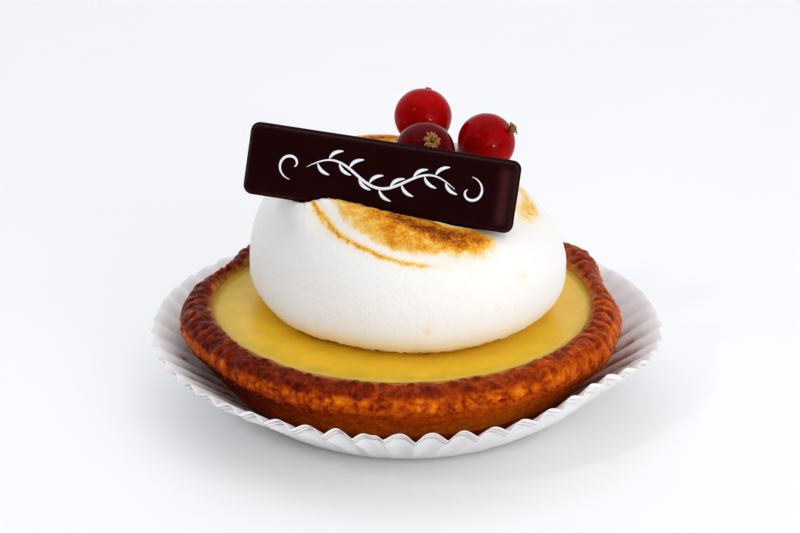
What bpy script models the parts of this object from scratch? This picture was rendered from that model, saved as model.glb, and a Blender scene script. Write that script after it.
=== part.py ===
"""Lemon meringue tartlet in three nested paper baking cases.

A shortcrust shell with a crimped rim holds a lemon filling. A piped meringue sits on the filling, and three
currants and a bar of dark chocolate rest on the meringue. Metres, +Z up. The origin is below the middle of
the crust, on the surface that the outermost paper stands on, and the bar faces -Y.
"""

import math

import bmesh
import bpy
import numpy as np
from mathutils import Matrix, Vector

MM = 0.001
GAP = 0.3 * MM

# Paper cases: a flat disc with a pleated wall, the same case three times, each resting in the next.
PAPER_LAYERS = ("inner", "middle", "outer")
PAPER_THICKNESS = 0.2 * MM
PAPER_BASE_RADIUS = 28.0 * MM
PAPER_WALL_LENGTH = 21.6 * MM
PAPER_WALL_SLOPE = math.radians(33.5)
PAPER_LAYER_SLIP = 0.9 * MM
PAPER_CENTRE_X = 0.9 * MM
PLEATS = 53
PLEAT_PHASE = math.pi
PLEAT_DEPTH = 1.0 * MM
# How far up the wall the pleats start, so that every case's base stays flat.
PLEATS_FROM = 0.5 * MM
# Where the wall is folded up more steeply: direction and half width, the fold's angle and how far up the wall it is.
LIFTED_SIDE = math.radians(-41.0)
LIFTED_WIDTH = math.radians(17.0)
LIFTED_BY = math.radians(13.5)
LIFTED_FROM = 9.0 * MM

# Crust: a fluted tart shell, its rim crimped all round.
CRUST_BASE_RADIUS = 27.0 * MM
CRUST_RIM_RADIUS = 39.5 * MM
CRUST_RIM_HEIGHT = 14.9 * MM
CRUST_LIP_HEIGHT = 12.4 * MM
CRUST_TOP = 19.0 * MM
CRUST_TOP_RADIUS = 36.2 * MM
CRUST_TOP_TILT = 1.0 * MM
CRUST_FLOOR = 3.5 * MM
CAVITY_RADIUS = 34.3 * MM
CAVITY_FLOOR_RADIUS = 26.0 * MM
CRIMPS = 80
CRIMP_DEPTH = 0.35 * MM
# Where the rim stands out or draws in: direction and half width in degrees, and how far in millimetres.
RIM_BULGES = ((188.0, 25.0, 0.6), (148.0, 14.0, -0.8), (-28.0, 9.0, 1.0), (12.0, 13.0, -0.6), (48.0, 17.0, 1.3))

# Lemon filling, level with the inner edge of the rim.
FILLING_TOP = 17.35 * MM

# Meringue: a squat dome with a soft shoulder, higher on its +X side and its crown leaning to -X.
DOME_CENTRE = Vector((0.66, 0.15, 0.0)) * MM
DOME_RADIUS = 27.7 * MM
DOME_WAIST = 25.6 * MM
DOME_RISE = 23.06 * MM
DOME_FULLNESS = 1.8
DOME_UNDERCUT = 14.6 * MM
UNDERCUT_FULLNESS = 2.97
DOME_LEAN = Vector((-5.8, -0.5, 0.0)) * MM
DOME_TILT = math.radians(3.2)
# Oval plan: the shares of the radius that go with the cosine and sine of twice and three times the direction.
DOME_OVAL = (0.016, -0.066, 0.011, 0.016)
# Where the foot spreads: direction and half width in degrees, and how far in millimetres.
FOOT_BULGES = ((-143.0, 22.0, 1.7), (-15.0, 20.0, 0.5))
FOOT_TOP = 29.0 * MM
# The small topmost swirl that the currants sit on.
SWIRL_CENTRE = Vector((5.0, 2.0, 0.0)) * MM
SWIRL_RADIUS = 12.0 * MM
SWIRL_WAIST = 36.5 * MM
SWIRL_RISE = 9.5 * MM
SWIRL_FULLNESS = 3.0
# The crest of the upper turn: direction in degrees, height and how far it stands out in millimetres.
CREST_PATH = (
    (-178.0, 41.0, 0.0),
    (-160.0, 41.5, 1.2),
    (-142.0, 42.2, 2.2),
    (-120.0, 42.4, 2.2),
    (-95.0, 41.2, 1.5),
    (-80.0, 39.3, 1.6),
    (-62.0, 36.9, 1.7),
    (-48.0, 35.4, 1.2),
    (-25.0, 34.4, 0.0),
)
CREST_WIDTH = 2.2 * MM
FURROW_BEHIND = 4.0 * MM
FURROW_SHARE = 0.8

# Chocolate bar, pressed into the meringue and leaning back on the currants.
BAR_LENGTH = 47.4 * MM
BAR_HEIGHT = 12.65 * MM
BAR_THICKNESS = 3.0 * MM
BAR_CORNER = 2.2 * MM
BAR_EDGE = 0.9 * MM
BAR_FACE_CENTRE = Vector((-3.7, -14.8, 47.4)) * MM
BAR_LEAN = math.radians(17.0)
BAR_TURN = math.radians(-6.0)
BAR_ROLL = math.radians(6.5)

# Currants: centre and radius in millimetres, and the direction that the dried flower end points in.
CURRANTS = {
    "currant_front": ((3.95, -5.8, 48.75), 5.35, (1.2, -3.9, 3.5)),
    "currant_rear": ((3.74, 7.0, 50.6), 5.18, (1.0, 3.1, 3.9)),
    "currant_right": ((14.95, 2.0, 47.6), 5.21, (4.3, 0.2, 2.9)),
}
FLOWER_END_RADIUS = 1.15 * MM
FLOWER_END_LENGTH = 1.0 * MM


def clear_scene():
    for obj in list(bpy.data.objects):
        bpy.data.objects.remove(obj)


def new_collection(name):
    collection = bpy.data.collections.new(name)
    bpy.context.scene.collection.children.link(collection)
    return collection


def material(name, colour, roughness, metallic=0.0):
    made = bpy.data.materials.new(name)
    made.use_nodes = True
    shader = made.node_tree.nodes["Principled BSDF"]
    shader.inputs["Base Color"].default_value = (*colour, 1.0)
    shader.inputs["Roughness"].default_value = roughness
    shader.inputs["Metallic"].default_value = metallic
    made.diffuse_color = (*colour, 1.0)
    return made


def add_object(name, mesh, collection, finish=None):
    obj = bpy.data.objects.new(name, mesh)
    collection.objects.link(obj)
    if finish:
        mesh.materials.clear()
        mesh.materials.append(finish)
    return obj


def made_solid(obj):
    """Replace the object's mesh by the one its modifiers give, and drop the modifiers."""
    evaluated = obj.evaluated_get(bpy.context.evaluated_depsgraph_get())
    mesh = bpy.data.meshes.new_from_object(evaluated)
    obj.modifiers.clear()
    obj.data = mesh
    return obj


def turned(name, profile, steps, collection, finish):
    """Solid of revolution from a profile of (radius, height) that starts and ends on the axis."""
    mesh = bpy.data.meshes.new(name)
    points = [(radius, 0.0, height) for radius, height in profile]
    mesh.from_pydata(points, [(i, i + 1) for i in range(len(points) - 1)], [])
    obj = add_object(name, mesh, collection, finish)
    screw = obj.modifiers.new("turn", "SCREW")
    screw.axis = "Z"
    screw.steps = steps
    screw.render_steps = steps
    screw.use_merge_vertices = True
    screw.merge_threshold = 0.00001
    return made_solid(obj)


def reshaped(obj, rule):
    """Move every vertex by a rule that takes and gives arrays of x, y and z."""
    count = len(obj.data.vertices)
    flat = np.empty(count * 3, dtype=np.float32)
    obj.data.vertices.foreach_get("co", flat)
    x, y, z = flat.reshape(-1, 3).astype(float).T
    moved = np.stack(rule(x, y, z), axis=1)
    obj.data.vertices.foreach_set("co", moved.astype(np.float32).ravel())
    obj.data.update()
    return obj


def split_alike(obj):
    """Split each bent facet along its shorter diagonal, so that sheets lying in each other bend alike."""
    bm = bmesh.new()
    bm.from_mesh(obj.data)
    bmesh.ops.triangulate(bm, faces=bm.faces[:], quad_method="SHORT_EDGE")
    bm.to_mesh(obj.data)
    bm.free()
    return obj


def smooth_shaded(obj, sharp_degrees=50.0):
    obj.data.shade_smooth()
    obj.data.set_sharp_from_angle(angle=math.radians(sharp_degrees))
    return obj


def angle_apart(angle, centre):
    """Signed difference of two directions, between -pi and pi."""
    return (angle - centre + math.pi) % (2 * math.pi) - math.pi


def bell(distance, width):
    return np.exp(-((distance / width) ** 2))


def spread(angle, bulges):
    """Sum of the bulges round an outline, each a bell of (direction, half width, reach in millimetres)."""
    return sum(
        reach * MM * bell(angle_apart(angle, math.radians(direction)), math.radians(width))
        for direction, width, reach in bulges
    )


def paper_profile(layer):
    """Outline of one case before pleating: disc and wall, the layer's own depth below the innermost."""
    slope = PAPER_WALL_SLOPE
    step = PAPER_THICKNESS + GAP
    inset = math.tan(slope / 2)
    top = (len(PAPER_LAYERS) - 1 - layer) * step + PAPER_THICKNESS
    radius = PAPER_BASE_RADIUS + layer * step * inset
    length = PAPER_WALL_LENGTH - layer * PAPER_LAYER_SLIP
    along = Vector((math.cos(slope), math.sin(slope)))
    across = Vector((math.sin(slope), -math.cos(slope)))
    corner = Vector((radius, top))
    rim = corner + along * length
    outer_rim = rim + across * PAPER_THICKNESS
    outer_corner = Vector((radius + PAPER_THICKNESS * inset, top - PAPER_THICKNESS))
    return [(0.0, top), corner[:], rim[:], outer_rim[:], outer_corner[:], (0.0, outer_corner.y)]


def pleated(x, y, z):
    """Fold the wall up and down across its slope, more towards the rim, and bend it up on one side."""
    radius = np.hypot(x, y)
    angle = np.arctan2(y, x)
    length = np.clip((radius - PAPER_BASE_RADIUS) / math.cos(PAPER_WALL_SLOPE), 0.0, None)
    share = np.clip((length - PLEATS_FROM) / (PAPER_WALL_LENGTH - PLEATS_FROM), 0.0, 1.0)
    fold = PLEAT_DEPTH * share * np.cos(PLEATS * angle + PLEAT_PHASE)
    bent = np.clip(length - LIFTED_FROM, 0.0, None)
    slope = PAPER_WALL_SLOPE + LIFTED_BY * bell(angle_apart(angle, LIFTED_SIDE), LIFTED_WIDTH)
    new_radius = radius - bent * (math.cos(PAPER_WALL_SLOPE) - np.cos(slope)) - fold * np.sin(slope)
    new_height = z + bent * (np.sin(slope) - math.sin(PAPER_WALL_SLOPE)) + fold * np.cos(slope)
    return new_radius * np.cos(angle) + PAPER_CENTRE_X, new_radius * np.sin(angle), new_height


def make_papers(collection, finish):
    for layer, label in enumerate(PAPER_LAYERS):
        case = turned(f"paper_case_{label}", paper_profile(layer), 2 * PLEATS, collection, finish)
        split_alike(reshaped(case, pleated))


def crust_foot():
    """Height of the crust's underside, clear of the innermost paper."""
    return len(PAPER_LAYERS) * (PAPER_THICKNESS + GAP)


def crust_profile():
    """Cavity, rim with a lip that hangs over the wall, wall and foot, from the cavity floor's middle outwards."""
    foot = crust_foot()
    rim, top = CRUST_RIM_RADIUS, CRUST_TOP_RADIUS
    lip, base = CRUST_LIP_HEIGHT, CRUST_BASE_RADIUS
    floor = foot + CRUST_FLOOR
    return [
        (0.0, floor),
        (CAVITY_FLOOR_RADIUS, floor),
        (CAVITY_FLOOR_RADIUS + 1.2 * MM, floor + 1.0 * MM),
        (CAVITY_RADIUS, FILLING_TOP + 0.1 * MM),
        (top - 1.1 * MM, CRUST_TOP - 0.45 * MM),
        (top, CRUST_TOP),
        (rim - 1.7 * MM, CRUST_TOP - 0.8 * MM),
        (rim - 0.4 * MM, CRUST_RIM_HEIGHT + 1.4 * MM),
        (rim, CRUST_RIM_HEIGHT),
        (rim - 0.3 * MM, CRUST_RIM_HEIGHT - 1.4 * MM),
        (rim - 1.2 * MM, lip),
        (base + 5.1 * MM, foot + 3.4 * MM),
        (base + 3.2 * MM, foot + 2.0 * MM),
        (base + 1.6 * MM, foot + 0.8 * MM),
        (base, foot),
        (0.0, foot),
    ]


def crimped(x, y, z):
    """Ridges round the outside of the rim, its places that stand out or draw in, and its higher back."""
    radius = np.hypot(x, y)
    angle = np.arctan2(y, x)
    foot = crust_foot()
    height_share = np.clip((z - foot) / (CRUST_RIM_HEIGHT - foot), 0.0, 1.0)
    outside = np.clip((radius - CAVITY_RADIUS) / (3.0 * MM), 0.0, 1.0)
    on_rim = outside * np.clip((z - CRUST_RIM_HEIGHT + 2.0 * MM) / (2.0 * MM), 0.0, 1.0)
    shift = CRIMP_DEPTH * on_rim * np.cos(CRIMPS * angle)
    shift = shift + spread(angle, RIM_BULGES) * height_share * outside
    higher = CRUST_TOP_TILT * np.sin(angle) * np.clip((z - FILLING_TOP) / (CRUST_TOP - FILLING_TOP), 0.0, 1.0)
    return (radius + shift) * np.cos(angle), (radius + shift) * np.sin(angle), z + higher


def make_crust(collection, finish):
    crust = turned("crust", crust_profile(), 2 * CRIMPS, collection, finish)
    reshaped(crust, crimped)
    return smooth_shaded(crust, 60.0)


def make_filling(collection, finish):
    floor = crust_foot() + CRUST_FLOOR + GAP
    profile = [
        (0.0, FILLING_TOP),
        (CAVITY_RADIUS - 0.8 * MM, FILLING_TOP),
        (CAVITY_RADIUS - 2 * GAP, FILLING_TOP - 0.4 * MM),
        (CAVITY_FLOOR_RADIUS + 0.7 * MM, floor + 0.9 * MM),
        (CAVITY_FLOOR_RADIUS - 0.4 * MM, floor),
        (0.0, floor),
    ]
    filling = turned("lemon_filling", profile, 80, collection, finish)
    return smooth_shaded(filling)


def quarter(radius, height, fullness, count):
    """Quarter of a rounded outline, fuller than an ellipse above 2: (across, up) from the top to the side."""
    angles = np.linspace(math.pi / 2, 0.0, count)
    across = np.clip(np.cos(angles), 0.0, 1.0) ** (2.0 / fullness)
    across[0] = 0.0
    return np.stack((radius * across, height * np.sin(angles) ** (2.0 / fullness)), axis=1)


def dome_profile():
    """Crown, shoulder and undercut of the meringue, from the top of the crown to the middle of the underside."""
    underside = FILLING_TOP + GAP
    crown = quarter(DOME_RADIUS, DOME_RISE, DOME_FULLNESS, 20) + (0.0, DOME_WAIST)
    below = quarter(DOME_UNDERCUT, DOME_WAIST - underside, UNDERCUT_FULLNESS, 9)[::-1]
    below = below * (1.0, -1.0) + (DOME_RADIUS - DOME_UNDERCUT, DOME_WAIST)
    return [tuple(point) for point in np.concatenate((crown, below[1:]))] + [(0.0, underside)]


def crest_bump(angle, height):
    """How far the upper turn's crest stands out, less the furrow above it."""
    directions, heights, rises = np.array(CREST_PATH).T
    above = height - np.interp(np.degrees(angle), directions, heights) * MM
    furrow = FURROW_SHARE * bell(above - FURROW_BEHIND, CREST_WIDTH)
    return np.interp(np.degrees(angle), directions, rises) * MM * (bell(above, CREST_WIDTH) - furrow)


def piped(x, y, z):
    """Give the turned dome its oval plan, its leaning and tipped crown, the topmost swirl and the crest."""
    radius = np.hypot(x, y)
    angle = np.arctan2(y, x)
    waves = (np.cos(2 * angle), np.sin(2 * angle), np.cos(3 * angle), np.sin(3 * angle))
    oval = 1.0 + sum(share * wave for share, wave in zip(DOME_OVAL, waves))
    lean = np.clip((z - DOME_WAIST) / DOME_RISE, 0.0, 1.0) ** 1.5
    bump = crest_bump(angle, z)
    low = np.clip((FOOT_TOP - z) / (FOOT_TOP - FILLING_TOP), 0.0, 1.0) * np.clip(radius / DOME_UNDERCUT, 0.0, 1.0)
    plan = radius * oval + spread(angle, FOOT_BULGES) * low
    x = plan * np.cos(angle) + DOME_LEAN.x * lean
    y = plan * np.sin(angle) + DOME_LEAN.y * lean
    tipped = np.clip((z - FILLING_TOP) / (DOME_WAIST - FILLING_TOP), 0.0, 1.0)
    z = z + x * math.tan(DOME_TILT) * tipped * (z > FILLING_TOP + 2 * GAP) + 0.85 * bump
    x = x + 0.5 * bump * np.cos(angle) + DOME_CENTRE.x
    y = y + 0.5 * bump * np.sin(angle) + DOME_CENTRE.y
    reach = np.hypot(x - SWIRL_CENTRE.x, y - SWIRL_CENTRE.y) / SWIRL_RADIUS
    swirl = SWIRL_WAIST + SWIRL_RISE * np.clip(1.0 - reach**SWIRL_FULLNESS, 0.0, 1.0) ** (1.0 / SWIRL_FULLNESS)
    lifted = (z > DOME_WAIST) & (reach < 1.0)
    return x, y, np.where(lifted, np.maximum(z, swirl), z)


def bar_matrix():
    """Place of the bar's face: local x along it, local z up it, local -y out of it."""
    turn = Matrix.Rotation(BAR_TURN, 4, "Z")
    lean = Matrix.Rotation(-BAR_LEAN, 4, "X")
    roll = Matrix.Rotation(BAR_ROLL, 4, "Y")
    return Matrix.Translation(BAR_FACE_CENTRE) @ turn @ lean @ roll


def bar_mesh(grow=0.0, corner=BAR_CORNER, edge=BAR_EDGE):
    """Rounded slab behind its face, with its upright corners and then its edges rounded."""
    bm = bmesh.new()
    bmesh.ops.create_cube(bm, size=1.0)
    size = Vector((BAR_LENGTH, BAR_THICKNESS, BAR_HEIGHT)) + Vector((grow, grow, grow)) * 2
    bmesh.ops.scale(bm, vec=size, verts=bm.verts)
    bmesh.ops.translate(bm, vec=(0.0, BAR_THICKNESS / 2, 0.0), verts=bm.verts)
    corners = [e for e in bm.edges if abs((e.verts[0].co - e.verts[1].co).normalized().y) > 0.9]
    bmesh.ops.bevel(bm, geom=corners, offset=corner, segments=4, profile=0.5, affect="EDGES")
    if edge:
        front_and_back = [e for e in bm.edges if abs(e.calc_face_angle(0.0)) > math.radians(60.0)]
        bmesh.ops.bevel(bm, geom=front_and_back, offset=edge, segments=2, profile=0.5, affect="EDGES")
    mesh = bpy.data.meshes.new("chocolate_bar")
    bm.to_mesh(mesh)
    bm.free()
    return mesh


def make_bar(collection, finish):
    bar = add_object("chocolate_bar", bar_mesh(), collection, finish)
    bar.matrix_world = bar_matrix()
    return smooth_shaded(bar, 60.0)


def ball_mesh(name, radius, segments=20, rings=12):
    bm = bmesh.new()
    bmesh.ops.create_uvsphere(bm, u_segments=segments, v_segments=rings, radius=radius)
    mesh = bpy.data.meshes.new(name)
    bm.to_mesh(mesh)
    bm.free()
    return mesh


def flower_end_mesh(radius):
    """Stub of dried petals on the ball's +Z pole, its foot sunk into the fruit."""
    bm = bmesh.new()
    depth = FLOWER_END_LENGTH * 2
    bmesh.ops.create_cone(
        bm, cap_ends=True, segments=8, radius1=FLOWER_END_RADIUS, radius2=FLOWER_END_RADIUS * 0.8, depth=depth
    )
    bmesh.ops.translate(bm, vec=(0.0, 0.0, radius), verts=bm.verts)
    mesh = bpy.data.meshes.new("flower_end")
    bm.to_mesh(mesh)
    bm.free()
    return mesh


def currant_place(centre, flower):
    """Matrix that puts a ball at its centre in millimetres, with +Z towards its flower end."""
    turn = Vector((0.0, 0.0, 1.0)).rotation_difference(Vector(flower)).to_matrix().to_4x4()
    return Matrix.Translation(Vector(centre) * MM) @ turn


def make_currants(collection, cutters, finish):
    for name, (centre, radius, flower) in CURRANTS.items():
        currant = add_object(name, ball_mesh(name, radius * MM), collection, finish)
        currant.matrix_world = currant_place(centre, flower)
        stub = add_cutter(f"{name}_flower_end", flower_end_mesh(radius * MM), currant.matrix_world, cutters)
        union = currant.modifiers.new("flower end", "BOOLEAN")
        union.operation = "UNION"
        union.object = stub
        smooth_shaded(currant)


def add_cutter(name, mesh, matrix, cutters):
    cutter = add_object(name, mesh, cutters)
    cutter.matrix_world = matrix
    cutter.hide_render = True
    cutter.display_type = "WIRE"
    return cutter


def cut(obj, cutter):
    boolean = obj.modifiers.new(cutter.name, "BOOLEAN")
    boolean.operation = "DIFFERENCE"
    boolean.object = cutter


def make_meringue(collection, cutters, finish):
    """The dome, with a dent under each currant and a slot where the bar is pressed in."""
    meringue = turned("meringue", dome_profile(), 72, collection, finish)
    reshaped(meringue, piped)
    for name, (centre, radius, flower) in CURRANTS.items():
        dent = ball_mesh(name, radius * MM + GAP)
        cut(meringue, add_cutter(f"{name}_dent", dent, currant_place(centre, flower), cutters))
    slot = add_cutter("bar_slot", bar_mesh(grow=GAP, edge=0.0), bar_matrix(), cutters)
    cut(meringue, slot)
    return smooth_shaded(meringue)


def main():
    clear_scene()
    pieces = new_collection("lemon_tartlet")
    cutters = new_collection("cutters")
    make_papers(pieces, material("white_paper", (0.72, 0.72, 0.73), 0.7))
    make_crust(pieces, material("baked_crust", (0.36, 0.11, 0.02), 0.5))
    make_filling(pieces, material("lemon_curd", (0.83, 0.52, 0.06), 0.3))
    make_meringue(pieces, cutters, material("meringue", (0.86, 0.85, 0.82), 0.6))
    make_bar(pieces, material("dark_chocolate", (0.018, 0.005, 0.005), 0.35))
    make_currants(pieces, cutters, material("red_currant", (0.45, 0.005, 0.01), 0.12))


main()
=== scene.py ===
# %% [markdown]
# # A lemon meringue tartlet, dressed for its portrait
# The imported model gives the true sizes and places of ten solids: three nested paper cases, a shortcrust
# shell, a lemon filling, a piped meringue, a bar of dark chocolate and three red currants. This script
# loads them as a fixed frame and replaces each with a surface as fine as the food's own: pleats with soft
# folds, a crimped and crumbly rim, curd that creeps up the pastry, a toasted swirl, and currants with
# dried flower ends. Every piece is a stack of rings worked out with numpy, because baked, piped and folded
# things are round things gone slightly wrong: a ring that is easy to write down, and relief that says how
# it went wrong.

import itertools
import math

import bpy
import numpy as np
from mathutils import Matrix, Vector


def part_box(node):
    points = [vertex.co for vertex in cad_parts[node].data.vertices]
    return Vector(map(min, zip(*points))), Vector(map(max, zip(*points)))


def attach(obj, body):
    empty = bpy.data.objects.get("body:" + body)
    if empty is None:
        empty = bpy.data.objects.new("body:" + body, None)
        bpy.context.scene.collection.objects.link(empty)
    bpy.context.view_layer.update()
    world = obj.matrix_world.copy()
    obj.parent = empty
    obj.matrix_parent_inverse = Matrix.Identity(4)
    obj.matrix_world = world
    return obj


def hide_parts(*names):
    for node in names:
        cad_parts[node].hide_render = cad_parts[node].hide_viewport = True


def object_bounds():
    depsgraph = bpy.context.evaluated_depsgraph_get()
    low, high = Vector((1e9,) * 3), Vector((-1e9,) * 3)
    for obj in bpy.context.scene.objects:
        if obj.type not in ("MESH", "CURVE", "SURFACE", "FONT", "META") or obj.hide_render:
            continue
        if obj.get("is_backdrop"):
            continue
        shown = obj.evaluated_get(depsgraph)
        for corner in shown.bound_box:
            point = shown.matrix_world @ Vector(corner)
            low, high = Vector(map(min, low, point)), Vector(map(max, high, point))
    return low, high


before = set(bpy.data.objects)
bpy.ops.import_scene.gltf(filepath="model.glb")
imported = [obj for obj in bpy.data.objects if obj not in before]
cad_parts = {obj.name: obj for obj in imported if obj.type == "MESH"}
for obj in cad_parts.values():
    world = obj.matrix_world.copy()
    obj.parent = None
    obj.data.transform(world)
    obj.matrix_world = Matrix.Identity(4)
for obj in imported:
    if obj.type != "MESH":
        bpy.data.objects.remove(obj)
frame_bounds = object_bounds()
MM = 0.001


def in_mm(box):
    """The two corners of a box in millimetres, rounded for printing."""
    return [[round(value / MM, 2) for value in corner] for corner in box]


print("frame's box in mm:", in_mm(frame_bounds))

# %% [markdown]
# ## Camera
# A tartlet photographed for a shop window is taken with a long lens from a little above. The camera could
# be placed by eye, but here its distance, height and lens are the ones under which the rim, the filling
# and the papers all fall on their outlines in the photograph, so it is set from those few numbers and left
# alone.

# %% Place the camera
SENSOR_WIDTH = 36.0
LENS = 137.66
CAMERA_DISTANCE = 550.0 * MM
CAMERA_ELEVATION = math.radians(23.3)
LOOK_AT = Vector((-0.37, 0.0, 24.44)) * MM

camera = bpy.data.objects.new("camera", bpy.data.cameras.new("camera"))
camera.data.sensor_width = SENSOR_WIDTH
camera.data.lens = LENS
camera.data.clip_start = 10.0 * MM
towards_camera = Vector((0.0, -math.cos(CAMERA_ELEVATION), math.sin(CAMERA_ELEVATION)))
camera.location = LOOK_AT + towards_camera * CAMERA_DISTANCE
camera.rotation_euler = (math.pi / 2 - CAMERA_ELEVATION, 0.0, 0.0)
bpy.context.scene.collection.objects.link(camera)
bpy.context.scene.camera = camera
print("camera at", [round(v, 3) for v in camera.location], "with a lens of", LENS, "mm")

# %% [markdown]
# ## Materials from nodes
# Every finish below is a Principled shader fed by nodes, and the world's light is made of nodes too. A few
# helpers keep that short: one turns a colour as a display shows it into the linear one that nodes want,
# one adds a node and fills its inputs in one call, and one fills the shader of a finished material.

# %% Helpers for colours and nodes
def linear(red, green, blue):
    """A colour as a display shows it, 0 to 255, in linear light: the standard display curve undone."""
    share = np.array((red, green, blue)) / 255.0
    low = share / 12.92
    high = ((share + 0.055) / 1.055) ** 2.4
    return (*np.where(share <= 0.04045, low, high).tolist(), 1.0)


def fill(tree, node, inputs):
    """Link each input that is given a socket and set the others. They go by name or number."""
    for key, value in inputs.items():
        if isinstance(value, bpy.types.NodeSocket):
            tree.links.new(value, node.inputs[key])
        else:
            node.inputs[key].default_value = value


def add_node(tree, kind, inputs=None, **settings):
    """Add a node, set its properties and fill its inputs."""
    made = tree.nodes.new(kind)
    for name, value in settings.items():
        setattr(made, name, value)
    fill(tree, made, inputs or {})
    return made


def new_material(name):
    """A material with one Principled shader, and its node tree."""
    made = bpy.data.materials.new(name)
    made.use_nodes = True
    return made, made.node_tree


def finished(material, **inputs):
    """The material with its shader's sockets filled. Each goes by its name, with _ for its spaces."""
    shader = material.node_tree.nodes["Principled BSDF"]
    fill(material.node_tree, shader, {key.replace("_", " "): value for key, value in inputs.items()})
    return material


def ramp(tree, factor, stops):
    """A colour ramp over the factor, from (place, colour) stops."""
    made = add_node(tree, "ShaderNodeValToRGB", {"Fac": factor})
    elements = made.color_ramp.elements
    while len(elements) < len(stops):
        elements.new(0.5)
    for element, (place, colour) in zip(elements, stops):
        element.position = place
        element.color = colour
    return made.outputs["Color"]


def calculate(tree, operation, *values):
    """One Math node's result."""
    return add_node(tree, "ShaderNodeMath", dict(enumerate(values)), operation=operation).outputs["Value"]


def blend(tree, share, first, second):
    """Two colours mixed by a share of the second. Sockets 6, 7 and 2 are the Mix node's own for colours."""
    return add_node(tree, "ShaderNodeMix", {0: share, 6: first, 7: second}, data_type="RGBA").outputs[2]


def attribute(tree, name):
    """A number that the mesh carries at each point."""
    return add_node(tree, "ShaderNodeAttribute", attribute_name=name).outputs["Fac"]


print("middle grey on a display is", round(linear(128, 128, 128)[0], 3), "in linear light")

# %% [markdown]
# ## Light
# The tartlet stands on white in soft daylight: a wide window to the right of the camera leaves the left
# flank of the meringue a cool grey, a light overhead lifts the tops, and a low fill reaches what the rim
# shades. Two small lamps, one to each side, make the glints on fruit and glaze. One sun would give hard
# shadows, and an even bright world would lay a grey veil on the chocolate and the fruit, so the world is
# bright behind the tartlet and dim in front.

# %% Light the scene
WORLD_COLOUR = (0.93, 0.95, 1.0, 1.0)
WORLD_DIM = 0.20
WORLD_BRIGHT = 0.93
WORLD_BRIGHT_SIDE = (-0.06, 0.95, 0.0)
WORLD_SPREAD = 0.8
LAMPS = {
    "window": {"at": (0.66, -0.72, 0.66), "size": 1.20, "power": 2.8, "colour": (1.0, 0.98, 0.95)},
    "overhead": {"at": (-0.02, 0.10, 1.15), "size": 1.50, "power": 2.8, "colour": (1.0, 0.99, 0.97)},
    "fill": {"at": (0.46, -1.02, 0.14), "size": 0.90, "power": 3.2, "colour": (1.0, 0.99, 0.97)},
    "spark": {"at": (-0.54, -0.55, 0.70), "size": 0.10, "power": 0.80, "colour": (1.0, 1.0, 1.0)},
    "glint": {"at": (0.50, -0.84, 0.12), "size": 0.10, "power": 0.85, "colour": (1.0, 1.0, 1.0)},
}

world = bpy.data.worlds.new("white studio")
world.use_nodes = True
world_tree = world.node_tree
towards = add_node(world_tree, "ShaderNodeTexCoord").outputs["Generated"]
dot_inputs = {0: towards, 1: WORLD_BRIGHT_SIDE}
facing = add_node(world_tree, "ShaderNodeVectorMath", dot_inputs, operation="DOT_PRODUCT").outputs["Value"]
ends = {"From Min": -WORLD_SPREAD, "From Max": WORLD_SPREAD, "To Min": WORLD_DIM, "To Max": WORLD_BRIGHT}
strength = add_node(world_tree, "ShaderNodeMapRange", {"Value": facing, **ends}).outputs["Result"]
fill(world_tree, world_tree.nodes["Background"], {"Color": WORLD_COLOUR, "Strength": strength})
bpy.context.scene.world = world
for lamp_name, lamp in LAMPS.items():
    light = bpy.data.lights.new(lamp_name, "AREA")
    light.shape = "DISK"
    light.size = lamp["size"]
    light.energy = lamp["power"]
    light.color = lamp["colour"]
    holder = bpy.data.objects.new(lamp_name, light)
    holder.location = lamp["at"]
    holder.rotation_euler = (LOOK_AT - holder.location).to_track_quat("-Z", "Y").to_euler()
    bpy.context.scene.collection.objects.link(holder)
bpy.context.scene.view_settings.view_transform = "Standard"
bpy.context.scene.view_settings.look = "Medium High Contrast"
print(len(LAMPS), "lamps in a white world")

# %% [markdown]
# ## Two effects that the finishes share
# Food and paper are never one flat colour. A mottle varies a mask from place to place, and a fine relief
# tips the surface a little, finer than any mesh here could. Several materials need both, each at its own
# scale, so each is a node group with named inputs, built once. The pattern is read from Object
# coordinates: every piece sits at the origin, so these are real lengths and the pattern keeps its true
# size.

# %% Node groups: mottle and fine relief
def noise_group(name, result, extra):
    """Start a node group round a noise with the inputs Size, in millimetres, Detail and one extra."""
    group = bpy.data.node_groups.new(name, "ShaderNodeTree")
    for socket_name in ("Size", "Detail", extra):
        group.interface.new_socket(socket_name, in_out="INPUT", socket_type="NodeSocketFloat")
    group.interface.new_socket(result[0], in_out="OUTPUT", socket_type=result[1])
    inputs = group.nodes.new("NodeGroupInput").outputs
    place = add_node(group, "ShaderNodeTexCoord").outputs["Object"]
    scale = calculate(group, "DIVIDE", 1.0 / MM, inputs["Size"])
    noise_inputs = {"Vector": place, "Scale": scale, "Detail": inputs["Detail"]}
    cloud = add_node(group, "ShaderNodeTexNoise", noise_inputs).outputs["Fac"]
    return group, inputs[extra], cloud, group.nodes.new("NodeGroupOutput").inputs[result[0]]


def make_mottle_group():
    """Mask from 0 to 1: noise of a given size, its contrast raised about the middle."""
    group, contrast, cloud, output = noise_group("mottle", ("Mask", "NodeSocketFloat"), "Contrast")
    centred = calculate(group, "SUBTRACT", cloud, 0.5)
    raised = calculate(group, "MULTIPLY_ADD", centred, contrast, 0.5)
    clamped = add_node(group, "ShaderNodeClamp", {"Value": raised}).outputs["Result"]
    group.links.new(clamped, output)
    return group


def make_relief_group():
    """Normal tipped by noise of a given size and height, both in millimetres."""
    group, height, cloud, output = noise_group("fine relief", ("Normal", "NodeSocketVector"), "Height")
    distance = calculate(group, "MULTIPLY", height, MM)
    bump = add_node(group, "ShaderNodeBump", {"Height": cloud, "Distance": distance, "Strength": 1.0})
    group.links.new(bump.outputs["Normal"], output)
    return group


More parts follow.
